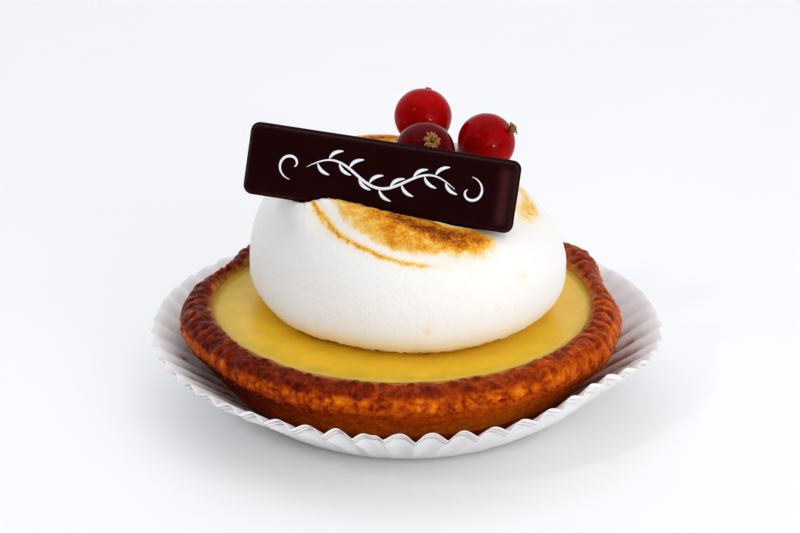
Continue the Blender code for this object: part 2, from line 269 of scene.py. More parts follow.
MOTTLE = make_mottle_group()
RELIEF = make_relief_group()


def mottle(tree, size, contrast=2.0, detail=3.0):
    """The mottle group in a material, with its own values."""
    values = {"Size": size, "Contrast": contrast, "Detail": detail}
    return add_node(tree, "ShaderNodeGroup", values, node_tree=MOTTLE).outputs["Mask"]


def unevenness(tree, size, contrast=2.0, detail=3.0):
    """The mottle about zero, -0.5 to 0.5, to be added to another mask."""
    return calculate(tree, "SUBTRACT", mottle(tree, size, contrast, detail), 0.5)


def relief(tree, size, height, detail=3.0):
    """The fine relief group in a material, with its own values."""
    values = {"Size": size, "Height": height, "Detail": detail}
    return add_node(tree, "ShaderNodeGroup", values, node_tree=RELIEF).outputs["Normal"]


print("node groups:", [group.name for group in bpy.data.node_groups])

# %% [markdown]
# ## Noise for the shapes
# The relief that the mesh itself carries needs noise outside the shader. A sum of sines repeats itself,
# and random heights per point would change with the mesh. Gradient noise does neither: it pulls each
# corner of a lattice of cubes in a random direction, drawn once from a fixed seed, and eases between the
# corners.

# %% Smooth noise in space
LATTICE = 32
PULLS = np.random.default_rng(12).normal(size=(LATTICE, LATTICE, LATTICE, 3))
PULLS /= np.linalg.norm(PULLS, axis=-1, keepdims=True)


def noise(points, size, octaves=1):
    """Smooth noise about zero, nearly from -1 to 1, on cubes of the given size in the points' own units.

    In each cube every corner's pull times the distance from it is summed with the weight 6t^5 - 15t^4 + 10t^3
    along each axis. Each further octave has half the size and half the height.
    """
    total = np.zeros(points.shape[:-1])
    for octave in range(octaves):
        place = points * (2**octave / size) + 7.3 * octave
        cell = np.floor(place).astype(int)
        inside = place - cell
        weight = inside**3 * (inside * (inside * 6 - 15) + 10)
        for corner in itertools.product((0, 1), repeat=3):
            index = np.moveaxis((cell + corner) % LATTICE, -1, 0)
            pull = (PULLS[tuple(index)] * (inside - corner)).sum(axis=-1)
            total += pull * np.where(corner, weight, 1 - weight).prod(axis=-1) / 2**octave
    return 1.6 * total


def eased(value, start, stop):
    """0 below start, 1 above stop, and a smooth step between them."""
    share = np.clip((value - start) / (stop - start), 0.0, 1.0)
    return share * share * (3 - 2 * share)


def bell(distance, width):
    """1 at no distance, falling to 1/e at the width: e^-(distance/width)^2."""
    return np.exp(-((distance / width) ** 2))


def apart(angle, centre):
    """Signed difference of two directions in radians, between -pi and pi."""
    return (angle - centre + math.pi) % (2 * math.pi) - math.pi


def bulges(angle, table):
    """Sum of bells round an outline, each of (direction, half width, reach), the first two in degrees."""
    return sum(reach * bell(apart(angle, math.radians(at)), math.radians(wide)) for at, wide, reach in table)


sample = noise(np.random.default_rng(1).uniform(0, 30, (4000, 3)), 3.0)
print("noise runs from", round(sample.min(), 2), "to", round(sample.max(), 2))

# %% [markdown]
# ## Surfaces from rings
# A stack of rings with its two ends closed gives every solid here: a turned crust, a strip of dried petal
# and a slab of chocolate differ only in where their rings lie. One function makes the mesh and another
# pushes relief out along the surface's own normal, so that no piece needs a modifier to look worked.

# %% Helpers for ring surfaces
def ring_mesh(name, shells, values=None):
    """A mesh of closed shells, each of rings of points in millimetres, shaped (rings, around, 3).

    Point k of ring i starts the face (i, k), (i+1, k), (i+1, k+1), (i, k+1), and the middle of the first
    and of the last ring closes the ends. values holds numbers per point: {name: one array for each shell}.
    """
    points = []
    quads = []
    fans = []
    start = 0
    for shell in shells:
        count, around = shell.shape[:2]
        index = start + np.arange(count * around).reshape(count, around)
        after = np.roll(index, -1, axis=1)
        ends = np.array((shell[0].mean(axis=0), shell[-1].mean(axis=0)))
        points += [shell.reshape(-1, 3), ends]
        quads.append(np.stack((index[:-1], index[1:], after[1:], after[:-1]), axis=-1).reshape(-1, 4))
        first = np.full(around, start + count * around)
        fans.append(np.stack((first, index[0], after[0]), axis=1))
        fans.append(np.stack((first + 1, after[-1], index[-1]), axis=1))
        start += count * around + 2
    quads = np.concatenate(quads)
    fans = np.concatenate(fans)
    mesh = bpy.data.meshes.new(name)
    mesh.vertices.add(start)
    mesh.vertices.foreach_set("co", (np.concatenate(points) * MM).astype(np.float32).ravel())
    mesh.loops.add(quads.size + fans.size)
    mesh.loops.foreach_set("vertex_index", np.concatenate((quads.ravel(), fans.ravel())).astype(np.int32))
    mesh.polygons.add(len(quads) + len(fans))
    starts = np.concatenate((np.arange(len(quads)) * 4, quads.size + np.arange(len(fans)) * 3))
    mesh.polygons.foreach_set("loop_start", starts.astype(np.int32))
    mesh.update(calc_edges=True)
    mesh.shade_smooth()
    for key, arrays in (values or {}).items():
        flat = [np.concatenate((array.ravel(), (array[0].mean(), array[-1].mean()))) for array in arrays]
        layer = mesh.attributes.new(key, "FLOAT", "POINT")
        layer.data.foreach_set("value", np.concatenate(flat).astype(np.float32))
    return mesh


def swollen(rings, heights):
    """Each point moved out along the normal, the cross product of the steps along and round the rings."""
    along = np.gradient(rings, axis=0)
    round_it = np.roll(rings, -1, axis=1) - np.roll(rings, 1, axis=1)
    normal = np.cross(along, round_it)
    normal /= np.linalg.norm(normal, axis=-1, keepdims=True) + 1e-12
    return rings + normal * heights[..., None]


def rounded_outline(corners, counts, softness):
    """Points along an outline of (radius, height) corners, a count of even steps for each stretch.

    Each point is the average of the outline over the softness to both sides, which rounds the corners.
    """
    corners = np.array(corners, float)
    lengths = np.concatenate(([0.0], np.cumsum(np.linalg.norm(np.diff(corners, axis=0), axis=1))))
    steps = [np.linspace(a, b, n, endpoint=False) for a, b, n in zip(lengths, lengths[1:], counts)]
    stops = np.concatenate(steps)[1:]
    spots = np.clip(stops[:, None] + np.linspace(-softness, softness, 9), 0.0, lengths[-1])
    return np.stack([np.interp(spots, lengths, corners[:, axis]).mean(axis=1) for axis in (0, 1)], axis=1)


def turned(outline, around):
    """Radius, height and direction of each point of the outline's rings, shaped (rings, around)."""
    angle = np.linspace(-math.pi, math.pi, around, endpoint=False)
    radius, height = (np.repeat(column[:, None], around, axis=1) for column in outline.T)
    return radius, height, np.repeat(angle[None, :], len(outline), axis=0)


def in_space(radius, angle, height):
    """Points from their radius, direction and height."""
    return np.stack((radius * np.cos(angle), radius * np.sin(angle), height), axis=-1)


def add_piece(name, mesh, node, finish):
    """Show a mesh in place of a CAD node, riding on the object's one body."""
    piece = bpy.data.objects.new(name, mesh)
    mesh.materials.append(finish)
    bpy.context.scene.collection.objects.link(piece)
    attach(piece, "root")
    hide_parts(node)
    print(f"{name}: {len(mesh.loops) - 2 * len(mesh.polygons)} triangles")


print("ring helpers ready")

# %% [markdown]
# ## Paper cases
# Baking cases are pressed between a pleated punch and die: a flat disc whose wall is folded into fine
# pleats that start at nothing and open towards the rim. The tartlet stands in three of them, each a little
# shorter than the one inside it. A cloth simulation would fold them by chance; the wave below folds them
# as the die does, with a pleat for each rise of a rounded triangle wave, a few uneven, and one side lifted
# by a hand.

# %% Measure and fold the cases
CASES = ("paper_case_inner", "paper_case_middle", "paper_case_outer")
CASE_CENTRE_X = 0.9
CASE_BASE_RADIUS = 28.0
CASE_SLOPE = math.radians(33.5)
WALL_LENGTH = 21.5
WALL_SHORTER_BY = 1.2
PAPER_THICKNESS = 0.12
CASE_STEP = 0.5
RIM_STEP = 0.18
PLEATS = 53
PLEAT_DEPTH = 0.80
PLEATS_FROM = 0.6
FLAT_PLEAT = math.radians(-97.4)
LIFTED_SIDE = math.radians(-41.0)
LIFTED_WIDTH = math.radians(17.0)
LIFTED_BY = math.radians(13.5)
LIFTED_FROM = 9.0
PLEAT_SAMPLES = 20
RIM_RADIUS = 46.0
FLOOR_RINGS = 4
WALL_RINGS = 26
EDGE_RING = FLOOR_RINGS + WALL_RINGS


def pleat_wave(angle):
    """Height of the fold round the wall, -1 to 1: round tops between sharp creases.

    It is 2 |cos(phase / 2)|^1.2 - 1, with its phase and height a little uneven, one pleat left flat, and the
    folds deepest at the front.
    """
    round_the_rim = in_space(RIM_RADIUS, angle, 0.0 * angle)
    phase = PLEATS * angle + math.pi + 0.45 * noise(round_the_rim, 11.0)
    wave = 2.0 * np.abs(np.cos(phase / 2)) ** 1.2 - 1.0
    wave *= 1.0 + 0.30 * noise(round_the_rim, 5.0)
    on_flat_one = bell(apart(angle, FLAT_PLEAT), math.radians(2.1))
    wave = wave + on_flat_one * (0.35 - wave)
    return wave * (0.55 + 0.45 * bell(apart(angle, math.radians(-90)), math.radians(42)))


def folded(length, angle, offset, layer):
    """Points of a case: the wall's length and direction, and how far they lie below its upper face.

    The wall rises at its slope s from the base radius r0, more steeply on the lifted side beyond
    LIFTED_FROM, and the fold f, which grows with the length l, stands across the slope:
    (r, z) = (r0 + l cos s - f sin s, l sin s + f cos s).
    """
    share = np.clip((length - PLEATS_FROM) / (WALL_LENGTH - PLEATS_FROM), 0.0, 1.0)
    slope = CASE_SLOPE + LIFTED_BY * bell(apart(angle, LIFTED_SIDE), LIFTED_WIDTH)
    bent = np.clip(length - LIFTED_FROM, 0.0, None)
    on_wall = np.clip(length / 0.5, 0.0, 1.0)
    crumple = 0.05 * on_wall * noise(in_space(CASE_BASE_RADIUS + length, angle, 0.0 * length), 2.6, 2)
    closing = layer * (CASE_STEP - RIM_STEP) * eased(length, 0.0, 0.6 * WALL_LENGTH)
    fold = PLEAT_DEPTH * share**0.85 * pleat_wave(angle) + crumple + closing - offset * on_wall
    radius = CASE_BASE_RADIUS + (length - bent) * math.cos(CASE_SLOPE) + bent * np.cos(slope)
    height = np.clip(length - bent, 0.0, None) * math.sin(CASE_SLOPE) + bent * np.sin(slope)
    turned_out = np.where(length > 0, slope, 0.0)
    radius = radius - fold * np.sin(turned_out)
    height = height + fold * np.cos(turned_out) - offset * (1.0 - on_wall)
    spread = CASE_STEP * layer * math.tan(CASE_SLOPE / 2)
    points = in_space(radius + spread * on_wall, angle, height)
    return points + (CASE_CENTRE_X, 0.0, 0.0)


def case_rings(layer, floor):
    """Rings of a case from the middle of its floor over the rim and back under it."""
    angle = np.linspace(-math.pi, math.pi, PLEATS * PLEAT_SAMPLES, endpoint=False)
    edge = in_space(RIM_RADIUS, angle, np.full_like(angle, 9.0 * layer))
    longest = WALL_LENGTH - WALL_SHORTER_BY * layer + 0.22 * noise(edge, 3.0, 2)
    wall = np.linspace(0.0, 1.0, WALL_RINGS)
    shares = np.concatenate((wall, [1.004], wall[::-2]))
    disc = np.repeat(np.linspace(-24.0, -1.0, FLOOR_RINGS)[:, None], len(angle), 1)
    lengths = np.concatenate((disc, shares[:, None] * longest, disc[::-1]))
    below = np.repeat((0.0, 0.5, 1.0), (EDGE_RING, 1, len(lengths) - EDGE_RING - 1))
    rings = folded(lengths, angle[None, :], below[:, None] * PAPER_THICKNESS, layer)
    return rings + (0.0, 0.0, floor + PAPER_THICKNESS)


case_floors = [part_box(node)[0].z / MM for node in CASES]
print(PLEATS, "pleats; floors at", [round(floor, 2) for floor in case_floors], "mm")

# %% [markdown]
# Greaseproof paper is white and matte, a little see-through, and takes up butter from the crust. One
# number at each point says how much brown is laid on, butter stain and painted shade together: most in
# the creases of the innermost case, painted as the shade of the pleats' valleys; on two sides below the
# crust, painted as its shadow; and a little along the upper edges, painted as the shade where the cases
# part. A mottle makes it cloudy.

# %% Finish the paper
def make_paper_material():
    paper, tree = new_material("baking paper")
    white = blend(tree, mottle(tree, 5.0, 1.6), linear(237, 237, 239), linear(244, 244, 246))
    # The brown laid on by this mask is butter stain and painted shade.
    grease_and_shade = calculate(tree, "MULTIPLY", attribute(tree, "grease_and_shade"), mottle(tree, 2.5, 2.2))
    return finished(
        paper,
        Base_Color=blend(tree, grease_and_shade, white, linear(176, 142, 116)),
        Roughness=0.65,
        Specular_IOR_Level=0.2,
        Subsurface_Weight=0.4,
        Subsurface_Scale=0.2 * MM,
        Subsurface_Radius=(1.0, 1.0, 1.0),
        Normal=relief(tree, 0.5, 0.015),
    )


def grease_and_shade_mask(rings, layer):
    """Butter stain and painted shade at each point: painted shade in the creases up to the crust's edge,
    more on two sides, painted as the crust's shadow, and a painted shade line at the rim.
    """
    outwards = np.hypot(rings[..., 0] - CASE_CENTRE_X, rings[..., 1])
    direction = np.arctan2(rings[..., 1], rings[..., 0] - CASE_CENTRE_X)
    # More brown on two sides below the crust: painted shadow of the crust.
    butter_and_shadow = 0.4 + bulges(direction, ((-154.0, 24.0, 1.9), (-12.0, 20.0, 1.9)))
    # Brown in the pleats' valleys: painted shade in the creases.
    creases = np.clip(0.50 - 0.95 * pleat_wave(direction), 0.0, 1.0)
    ring = np.arange(len(rings))[:, None]
    reached = np.where((ring < EDGE_RING) & (layer == 0), 1.0, 0.25)
    soaked_and_painted_light = reached * butter_and_shadow * (1.0 - eased(outwards, 39.5, 45.5)) * creases
    # A painted shade line along the rim, where the nested cases part.
    return np.maximum(soaked_and_painted_light, (0.8 if layer else 0.25) * bell(ring - EDGE_RING, 1.2))


paper_finish = make_paper_material()
for layer, (node, floor) in enumerate(zip(CASES, case_floors)):
    rings = case_rings(layer, floor)
    mesh = ring_mesh(node, [rings], {"grease_and_shade": [grease_and_shade_mask(rings, layer)]})
    add_piece(f"pleated_{node}", mesh, node, paper_finish)

# %% [markdown]
# ## Crust
# The shell is shortcrust pressed into a ring, its rim crimped and marked with a fork, then brushed and
# baked dark: lumpy and glossy on top, crumbly and lighter where the rim turns under, smooth where the wall
# lay against the tin. The outline keeps to the solid's, from the foot and the filling's level that the
# frame gives. The marks could be a normal map, but they show against the paper, so they are real relief:
# ridges, lumps and crumbs, each with its own mask.

# %% Outline and relief of the crust
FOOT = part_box("crust")[0].z / MM
RIM_TOP = 19.0
BAND_LEVEL = 14.9
FILLING_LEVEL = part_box("lemon_filling")[1].z / MM
CRUST_AROUND = 1000
CRUST_CORNERS = (
    (0.0, FOOT + 3.5), (26.0, FOOT + 3.5), (27.2, FOOT + 4.5), (33.95, FILLING_LEVEL + 0.1),
    (34.9, RIM_TOP - 0.45), (36.2, RIM_TOP), (37.8, RIM_TOP - 0.8), (39.1, 16.3), (39.5, BAND_LEVEL),
    (39.2, 13.5), (38.3, 12.4), (32.1, FOOT + 3.4), (30.2, FOOT + 2.0), (28.6, FOOT + 0.8), (27.0, FOOT),
    (0.0, FOOT),
)
CRUST_STEPS = (2, 1, 6, 6, 6, 8, 9, 6, 6, 6, 22, 4, 3, 3, 3)
# Where the rim, and where the whole tart, stands out or draws in: direction, half width, how far.
RIM_BULGES = (
    (188.0, 25.0, 0.6), (-148.0, 14.0, -0.9), (159.0, 9.0, -1.7), (139.0, 9.0, 2.0), (48.0, 17.0, 1.2),
    (31.0, 8.0, 2.2), (13.0, 10.0, -0.9), (-28.0, 9.0, 1.0),
)
TART_BULGES = ((139.0, 19.0, -2.4),)
# Painted shade on the wall: darker at the left, the back and the right, and lighter at the right front,
# where the paper's rim shades it.
WALL_PAINTED_SHADE = ((-150.0, 30.0, 0.62), (130.0, 50.0, 0.3), (-20.0, 20.0, 0.20), (-58.0, 15.0, -0.16))
CRIMPS = 80
FOLDS = 196


def crust_relief(points, radius, height, angle):
    """Height of the relief on the crust, the sum of five kinds of marks, each times its mask.

    Folds and crimps are cosines round the rim with a wandering phase, lumps and crumbs come from the size of
    noise about zero, which leaves creases between them, and streaks are noise drawn out in height.
    """
    outside = eased(radius, 33.7, 34.7)
    on_rim = outside * eased(height, 13.4, 15.2)
    below = outside * (1.0 - eased(height, 12.6, 14.6))
    band = outside * bell(height - BAND_LEVEL + 0.8 * noise(points, 3.2, 2), 1.35)
    front = 1.0 - eased(np.abs(apart(angle, math.radians(-97))), 0.55, 1.05)
    wander = 3.0 * noise(points, 4.5)
    folds = np.abs(np.cos(FOLDS / 2 * (angle + 0.010 * (radius - 36.0)) + wander)) ** 0.9 - 0.6
    lumps = 2.0 * np.abs(noise(points, 2.1)) ** 0.8 - 0.55
    crumbs = 1.0 - 2.4 * np.abs(noise(points, 1.0, 2))
    streaks = noise(points * (1.0, 1.0, 0.22), 1.1, 2)
    finer = np.cos(2.1 * FOLDS * (angle + 0.004 * (radius - 36.0)) + 1.7 * wander)
    unequal = 0.7 + 0.9 * noise(points, 4.0)
    relief_height = 0.14 * on_rim * (1.0 - 0.9 * front) * unequal * (folds + 0.22 * finer)
    relief_height += 0.10 * on_rim * (1.0 - 0.7 * front) * np.cos(CRIMPS * angle + 0.8 * wander)
    relief_height += on_rim * (0.18 + 0.26 * front * eased(radius, 34.4, 36.2)) * lumps
    relief_height += on_rim * (0.11 * noise(points, 0.9, 3) + 0.22 * noise(points, 6.0))
    relief_height += 0.20 * band * (0.35 + 0.65 * front) * crumbs
    relief_height += below * (0.06 * streaks + 0.08 * noise(points, 0.9, 3) + 0.10 * lumps)
    return relief_height, {"rim": on_rim, "band": band, "below": below, "front": front}


def drawn_in(angle, radius):
    """How far crust and filling together draw in: nothing in the middle, all of it at the rim."""
    return bulges(angle, TART_BULGES) * eased(radius, 20.0, 34.0)


def make_crust_rings():
    """The crust's rings and the masks that its finish needs.

    The turned outline is widened by the bulges, more the higher it is, its rim raised by sin(angle) at the
    back and lowered at the front, and the relief pushed out of it. Its colour is baked darker on top, with
    painted shade added away from the front; painted lighter down the wall against the shade there; and
    painted darker as shade in the hollows of the relief, except on the front lumps, whose tops are darker.
    """
    outline = rounded_outline(CRUST_CORNERS, CRUST_STEPS, 0.45)
    radius, height, angle = turned(outline, CRUST_AROUND)
    outside = np.clip((radius - 34.3) / 3.0, 0.0, 1.0)
    height_share = np.clip((height - FOOT) / (BAND_LEVEL - FOOT), 0.0, 1.0)
    wide = radius + bulges(angle, RIM_BULGES) * height_share * outside + drawn_in(angle, radius)
    up_the_rim = np.clip((height - FILLING_LEVEL) / (RIM_TOP - FILLING_LEVEL), 0.0, 1.0)
    raised = height + np.sin(angle) * up_the_rim
    points = in_space(wide, angle, raised)
    heights, masks = crust_relief(points, radius, height, angle)
    film = 1.0 - eased(radius + 0.5 * noise(points, 2.0, 2) - 0.7 * masks["front"], 34.2, 35.2)
    film *= eased(height - FILLING_LEVEL, -2.0, -0.5)
    away = 0.5 - 0.5 * np.cos(apart(angle, math.radians(-30)))
    on_top = eased(height + 1.2 * away - 0.5 * noise(points, 2.4, 2), 16.5, 17.5) * masks["rim"]
    deeper = np.clip((13.5 - height) / 8.0, 0.0, 1.0)
    # Baked darker on the rim's top, with painted shade added away from the front right.
    bake_and_painted_light = 0.50 + on_top * (0.17 + 0.32 * away) + 0.09 * masks["band"]
    # Down the wall: painted shade by direction, and painted light the lower it is, against the paper's shade.
    bake_and_painted_light += masks["below"] * (0.12 + bulges(angle, WALL_PAINTED_SHADE) - 0.75 * deeper)
    # Hollows of the relief painted darker as shade; on the front lumps the tops are darker.
    bake_and_painted_light = np.clip(bake_and_painted_light - (0.75 - 1.10 * on_top * masks["front"]) * heights, 0.0, 1.0)
    return swollen(points, heights), {"bake_and_painted_light": [bake_and_painted_light], "glazed": [masks["rim"]], "film": [film]}


crust_rings, crust_masks = make_crust_rings()
print("crust rings:", crust_rings.shape[:2], "out to x =", round(crust_rings[..., 0].max(), 1), "mm")

# %% [markdown]
# The finish follows a mask of baking, painted shade and painted light: it says how dark each place is,
# two mottles break it up, and the brushed rim is glossier than the wall. Where the curd thins out over the
# rim's inner edge it dries to a dull film.

# %% Finish the crust
def make_crust_material():
    crust, tree = new_material("baked shortcrust")
    patches = unevenness(tree, 1.7, 1.7)
    specks = unevenness(tree, 0.6, 3.0, 4.0)
    bake_and_painted_light = calculate(tree, "MULTIPLY_ADD", patches, 0.34, attribute(tree, "bake_and_painted_light"))
    bake_and_painted_light = calculate(tree, "MULTIPLY_ADD", specks, 0.20, bake_and_painted_light)
    stops = (
        (0.0, linear(238, 146, 34)),
        (0.25, linear(214, 112, 14)),
        (0.50, linear(182, 80, 6)),
        (0.75, linear(136, 46, 6)),
        (1.0, linear(84, 24, 8)),
    )
    film = calculate(tree, "MULTIPLY", attribute(tree, "film"), 0.6)
    dull = calculate(tree, "MULTIPLY_ADD", attribute(tree, "glazed"), -0.42, 0.66)
    return finished(
        crust,
        Base_Color=blend(tree, film, ramp(tree, bake_and_painted_light, stops), linear(206, 146, 76)),
        Roughness=calculate(tree, "MULTIPLY_ADD", patches, 0.18, dull),
        Specular_IOR_Level=0.07,
        Normal=relief(tree, 0.8, 0.14, 5.0),
    )


crust_finish = make_crust_material()
crust_mesh = ring_mesh("baked_crust", [crust_rings], crust_masks)
add_piece("baked_crust", crust_mesh, "crust", crust_finish)

# %% [markdown]
# ## Lemon filling
# The curd was poured level and set. It pulls up a little where it wets the pastry, its edge wanders, and
# it is dull where it runs out thin. Its colour is painted brighter and richer towards the window and
# round the meringue's foot, where the meringue shades it. It could be a flat disc with a gradient, but
# the edge is what the eye reads, so the rings are dense there and carry a meniscus.

# %% Shape and finish the curd
CURD_EDGE = 34.35
MENISCUS_RISE = 0.45
MENISCUS_REACH = 0.8
CURD_CORNERS = (
    (0.0, FILLING_LEVEL - 0.05), (22.0, FILLING_LEVEL - 0.05), (CURD_EDGE, FILLING_LEVEL - 0.05),
    (33.7, FILLING_LEVEL - 0.5), (26.7, FOOT + 4.7), (25.6, FOOT + 3.8), (0.0, FOOT + 3.8),
)
CURD_STEPS = (3, 6, 56, 6, 8, 2, 3)
CURD_AROUND = 520


def make_curd_rings():
    """The filling's rings: low swells, and a meniscus, rise times e^(-distance / reach), at the crust."""
    outline = rounded_outline(CURD_CORNERS, CURD_STEPS, 0.12)
    radius, height, angle = turned(outline, CURD_AROUND)
    on_top = eased(height, FILLING_LEVEL - 0.35, FILLING_LEVEL - 0.15)
    points = in_space(radius, angle, height)
    swell = 0.10 * noise(points, 9.0) + 0.04 * noise(points, 2.5)
    meniscus = MENISCUS_RISE * np.exp(-np.clip(CURD_EDGE - radius, 0.0, None) / MENISCUS_REACH)
    wander = 0.28 * noise(points, 4.0, 2) * eased(radius, 31.0, 33.6) * on_top
    raised = height + on_top * (swell * eased(34.0 - radius, 0.0, 1.5) + meniscus)
    points = in_space(radius + (wander + drawn_in(angle, radius)), angle, raised)
    # Painted light: brighter towards the window, and round the meringue's foot against its shade.
    towards_light = 0.5 + 0.5 * np.cos(apart(angle, math.radians(-35)))
    near_meringue = 1.0 - eased(radius, 28.5, 32.5)
    near_foot = 1.0 - eased(radius, 24.0, 28.0)
    thin = eased(radius + 0.5 * noise(points, 3.0, 2), 32.3, 34.4)
    tone_and_painted_light = 0.45 * towards_light + 0.35 * near_meringue + 0.25 * near_foot
    return points, {"tone_and_painted_light": [np.clip(tone_and_painted_light, 0.0, 1.0)], "thin": [thin]}


def make_curd_material():
    curd, tree = new_material("lemon curd")
    # From dull to bright by the mask of painted light, with a mottle.
    tone_and_painted_light = calculate(tree, "MULTIPLY_ADD", unevenness(tree, 4.0, 1.5), 0.45, attribute(tree, "tone_and_painted_light"))
    stops = (
        (0.0, linear(200, 170, 56)),
        (0.45, linear(230, 190, 54)),
        (0.8, linear(246, 202, 56)),
        (1.0, linear(255, 210, 64)),
    )
    thin = calculate(tree, "MULTIPLY", attribute(tree, "thin"), 0.68)
    return finished(
        curd,
        Base_Color=blend(tree, thin, ramp(tree, tone_and_painted_light, stops), linear(206, 160, 96)),
        Roughness=0.24,
        Specular_IOR_Level=0.25,
        Subsurface_Weight=0.8,
        Subsurface_Scale=2.4 * MM,
        Subsurface_Radius=(1.0, 0.65, 0.2),
        Normal=relief(tree, 2.2, 0.05, 2.0),
    )


curd_rings, curd_masks = make_curd_rings()
curd_mesh = ring_mesh("lemon_curd", [curd_rings], curd_masks)
add_piece("lemon_curd", curd_mesh, "lemon_filling", make_curd_material())

# %% [markdown]
# ## Chocolate bar, measured first
# The meringue is dented by what was pressed into it, so the places of the bar and the currants come before
# it. The bar leans back on the fruit, turned and rolled a little, as a hand sets it down.

# %% Place the bar and the currants
BAR_LENGTH = 47.4
BAR_HEIGHT = 12.65
BAR_THICKNESS = 3.0
BAR_CORNER = 1.6
BAR_FACE_CENTRE = Vector((-3.7, -14.8, 47.4))
BAR_TURN = math.radians(-6.0)
BAR_LEAN = math.radians(17.0)
BAR_ROLL = math.radians(6.5)
# A currant's flower is the direction from its centre to its flower end.
CURRANTS = {
    "currant_front": {"centre": (3.95, -5.8, 48.75), "radius": 5.35, "flower": (1.2, -3.9, 3.5)},
    "currant_rear": {"centre": (3.74, 7.0, 50.6), "radius": 5.18, "flower": (1.0, 3.1, 3.9)},
    "currant_right": {"centre": (14.95, 2.0, 47.6), "radius": 5.21, "flower": (4.0, -1.1, 2.7)},
}

leant = Matrix.Rotation(BAR_TURN, 4, "Z") @ Matrix.Rotation(-BAR_LEAN, 4, "X")
rolled = leant @ Matrix.Rotation(BAR_ROLL, 4, "Y")
BAR_PLACE = np.array(Matrix.Translation(BAR_FACE_CENTRE) @ rolled)


def out_of_bar(points):
    """Points of the bar's own space, x along it, z up it and its face at y = 0, moved to where the bar is."""
    return points @ BAR_PLACE[:3, :3].T + BAR_PLACE[:3, 3]


def into_bar(points):
    """The other way round."""
    return (points - BAR_PLACE[:3, 3]) @ BAR_PLACE[:3, :3]


bar_ends = np.array(((-BAR_LENGTH / 2, 0.0, 0.0), (BAR_LENGTH / 2, 0.0, 0.0)))
print("bar's ends at", out_of_bar(bar_ends).round(1).tolist())

# %% [markdown]
# ## Meringue
# One big turn of meringue was piped on the curd, a second smaller turn laid on top with its crest to the
# front, and the peaks caught by a torch. The dome's outline is a superellipse, leaning and tipped as in
# the frame; the crest, the furrow behind it, the ragged foot and the grain are added to it, and the dents
# of the fruit and the bar's slot are pushed in last. The torch's marks are worked out on the same rings,
# because they follow the piping: a thin golden line, a golden field below the crest, and the dark streak
# of the crest.

# %% Pipe the meringue
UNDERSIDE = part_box("meringue")[0].z / MM
DOME_CENTRE = (0.66, 0.15)
DOME_RADIUS = 27.7
DOME_WAIST = 25.6
DOME_RISE = 23.06
DOME_FULLNESS = 1.8
UNDERCUT = 14.6
UNDERCUT_FULLNESS = 2.97
FOOT_RADIUS = 21.9
FOOT_FLARE = 1.25
DOME_LEAN = (-5.8, -0.5)
DOME_TILT = math.radians(3.2)
# Shares of cos 2a, sin 2a, cos 3a and sin 3a in the dome's plan.
DOME_OVAL = (0.016, -0.066, 0.011, 0.016)
FOOT_BULGES = ((-143.0, 22.0, 1.7), (-15.0, 20.0, 0.5))
FOOT_TOP = 29.0
SWIRL_CENTRE = (5.0, 2.0)
SWIRL_RADIUS = 12.0
SWIRL_WAIST = 36.5
SWIRL_RISE = 9.5
MERINGUE_AROUND = 640
CREST_WIDTH = 2.2
FURROW_ABOVE = 4.0
FURROW_SHARE = 0.8
DENT_GAP = 0.12
SWELL_FORWARD = 3.3
# Meringue that the bar pushed up before its face: place along the bar, and how much of the bar it covers.
LIP = (
    (-20.0, -1.4), (-15.0, -0.5), (-13.0, -0.1), (-12.0, 0.25), (-10.8, 0.8), (-9.4, 1.3), (-7.0, 1.55),
    (-4.7, 1.45), (-0.4, 1.0), (4.8, 0.6), (9.5, 0.4), (14.0, 0.2), (17.0, 0.0), (20.0, -0.3),
)
# The crest of the upper turn: direction in degrees, height, how far it stands out.
CREST = (
    (-178.0, 41.0, 0.0), (-160.0, 41.5, 1.2), (-142.0, 42.2, 2.2), (-120.0, 42.4, 2.2), (-95.0, 41.2, 1.5),
    (-80.0, 39.3, 1.6), (-62.0, 36.9, 1.7), (-48.0, 35.4, 1.2), (-25.0, 34.4, 0.0),
)


def quarter(radius, height, fullness, count):
    """Quarter of a superellipse from its top to its side: (r cos^(2/n) a, h sin^(2/n) a)."""
    angle = np.linspace(math.pi / 2, 0.0, count)
    across = np.clip(np.cos(angle), 0.0, 1.0) ** (2.0 / fullness)
    return np.stack((radius * across, height * np.sin(angle) ** (2.0 / fullness)), axis=1)


def dome_outline():
    """Crown, shoulder, undercut and the middle of the underside, the foot spread where it meets the curd."""
    crown = quarter(DOME_RADIUS, DOME_RISE, DOME_FULLNESS, 112)[1:] + (0.0, DOME_WAIST)
    below = quarter(UNDERCUT, DOME_WAIST - UNDERSIDE, UNDERCUT_FULLNESS, 36)[::-1]
    below = below * (1.0, -1.0) + (DOME_RADIUS - UNDERCUT, DOME_WAIST)
    below[:, 1] -= (UNDERSIDE - FILLING_LEVEL + 0.1) * eased(DOME_WAIST - below[:, 1], 4.0, 8.0)
    spread_foot = FOOT_RADIUS + FOOT_FLARE * (below[:, 1] - FILLING_LEVEL)
    below[:, 0] = np.where(below[:, 1] < 19.6, np.maximum(below[:, 0], spread_foot), below[:, 0])
    return np.concatenate((crown, below[1:], [(8.0, FILLING_LEVEL - 0.1)]))


def read_table(table, places):
    """Each column of a table after its first, read at places along the first by straight lines between."""
    at, *columns = np.array(table).T
    return [np.interp(places, at, column) for column in columns]


def crest_bump(angle, height):
    """How far the upper turn's crest stands out at a height, less the furrow above it."""
    crest_height, rise = read_table(CREST, np.degrees(angle))
    above = height - crest_height
    return rise * (bell(above, CREST_WIDTH) - FURROW_SHARE * bell(above - FURROW_ABOVE, CREST_WIDTH))


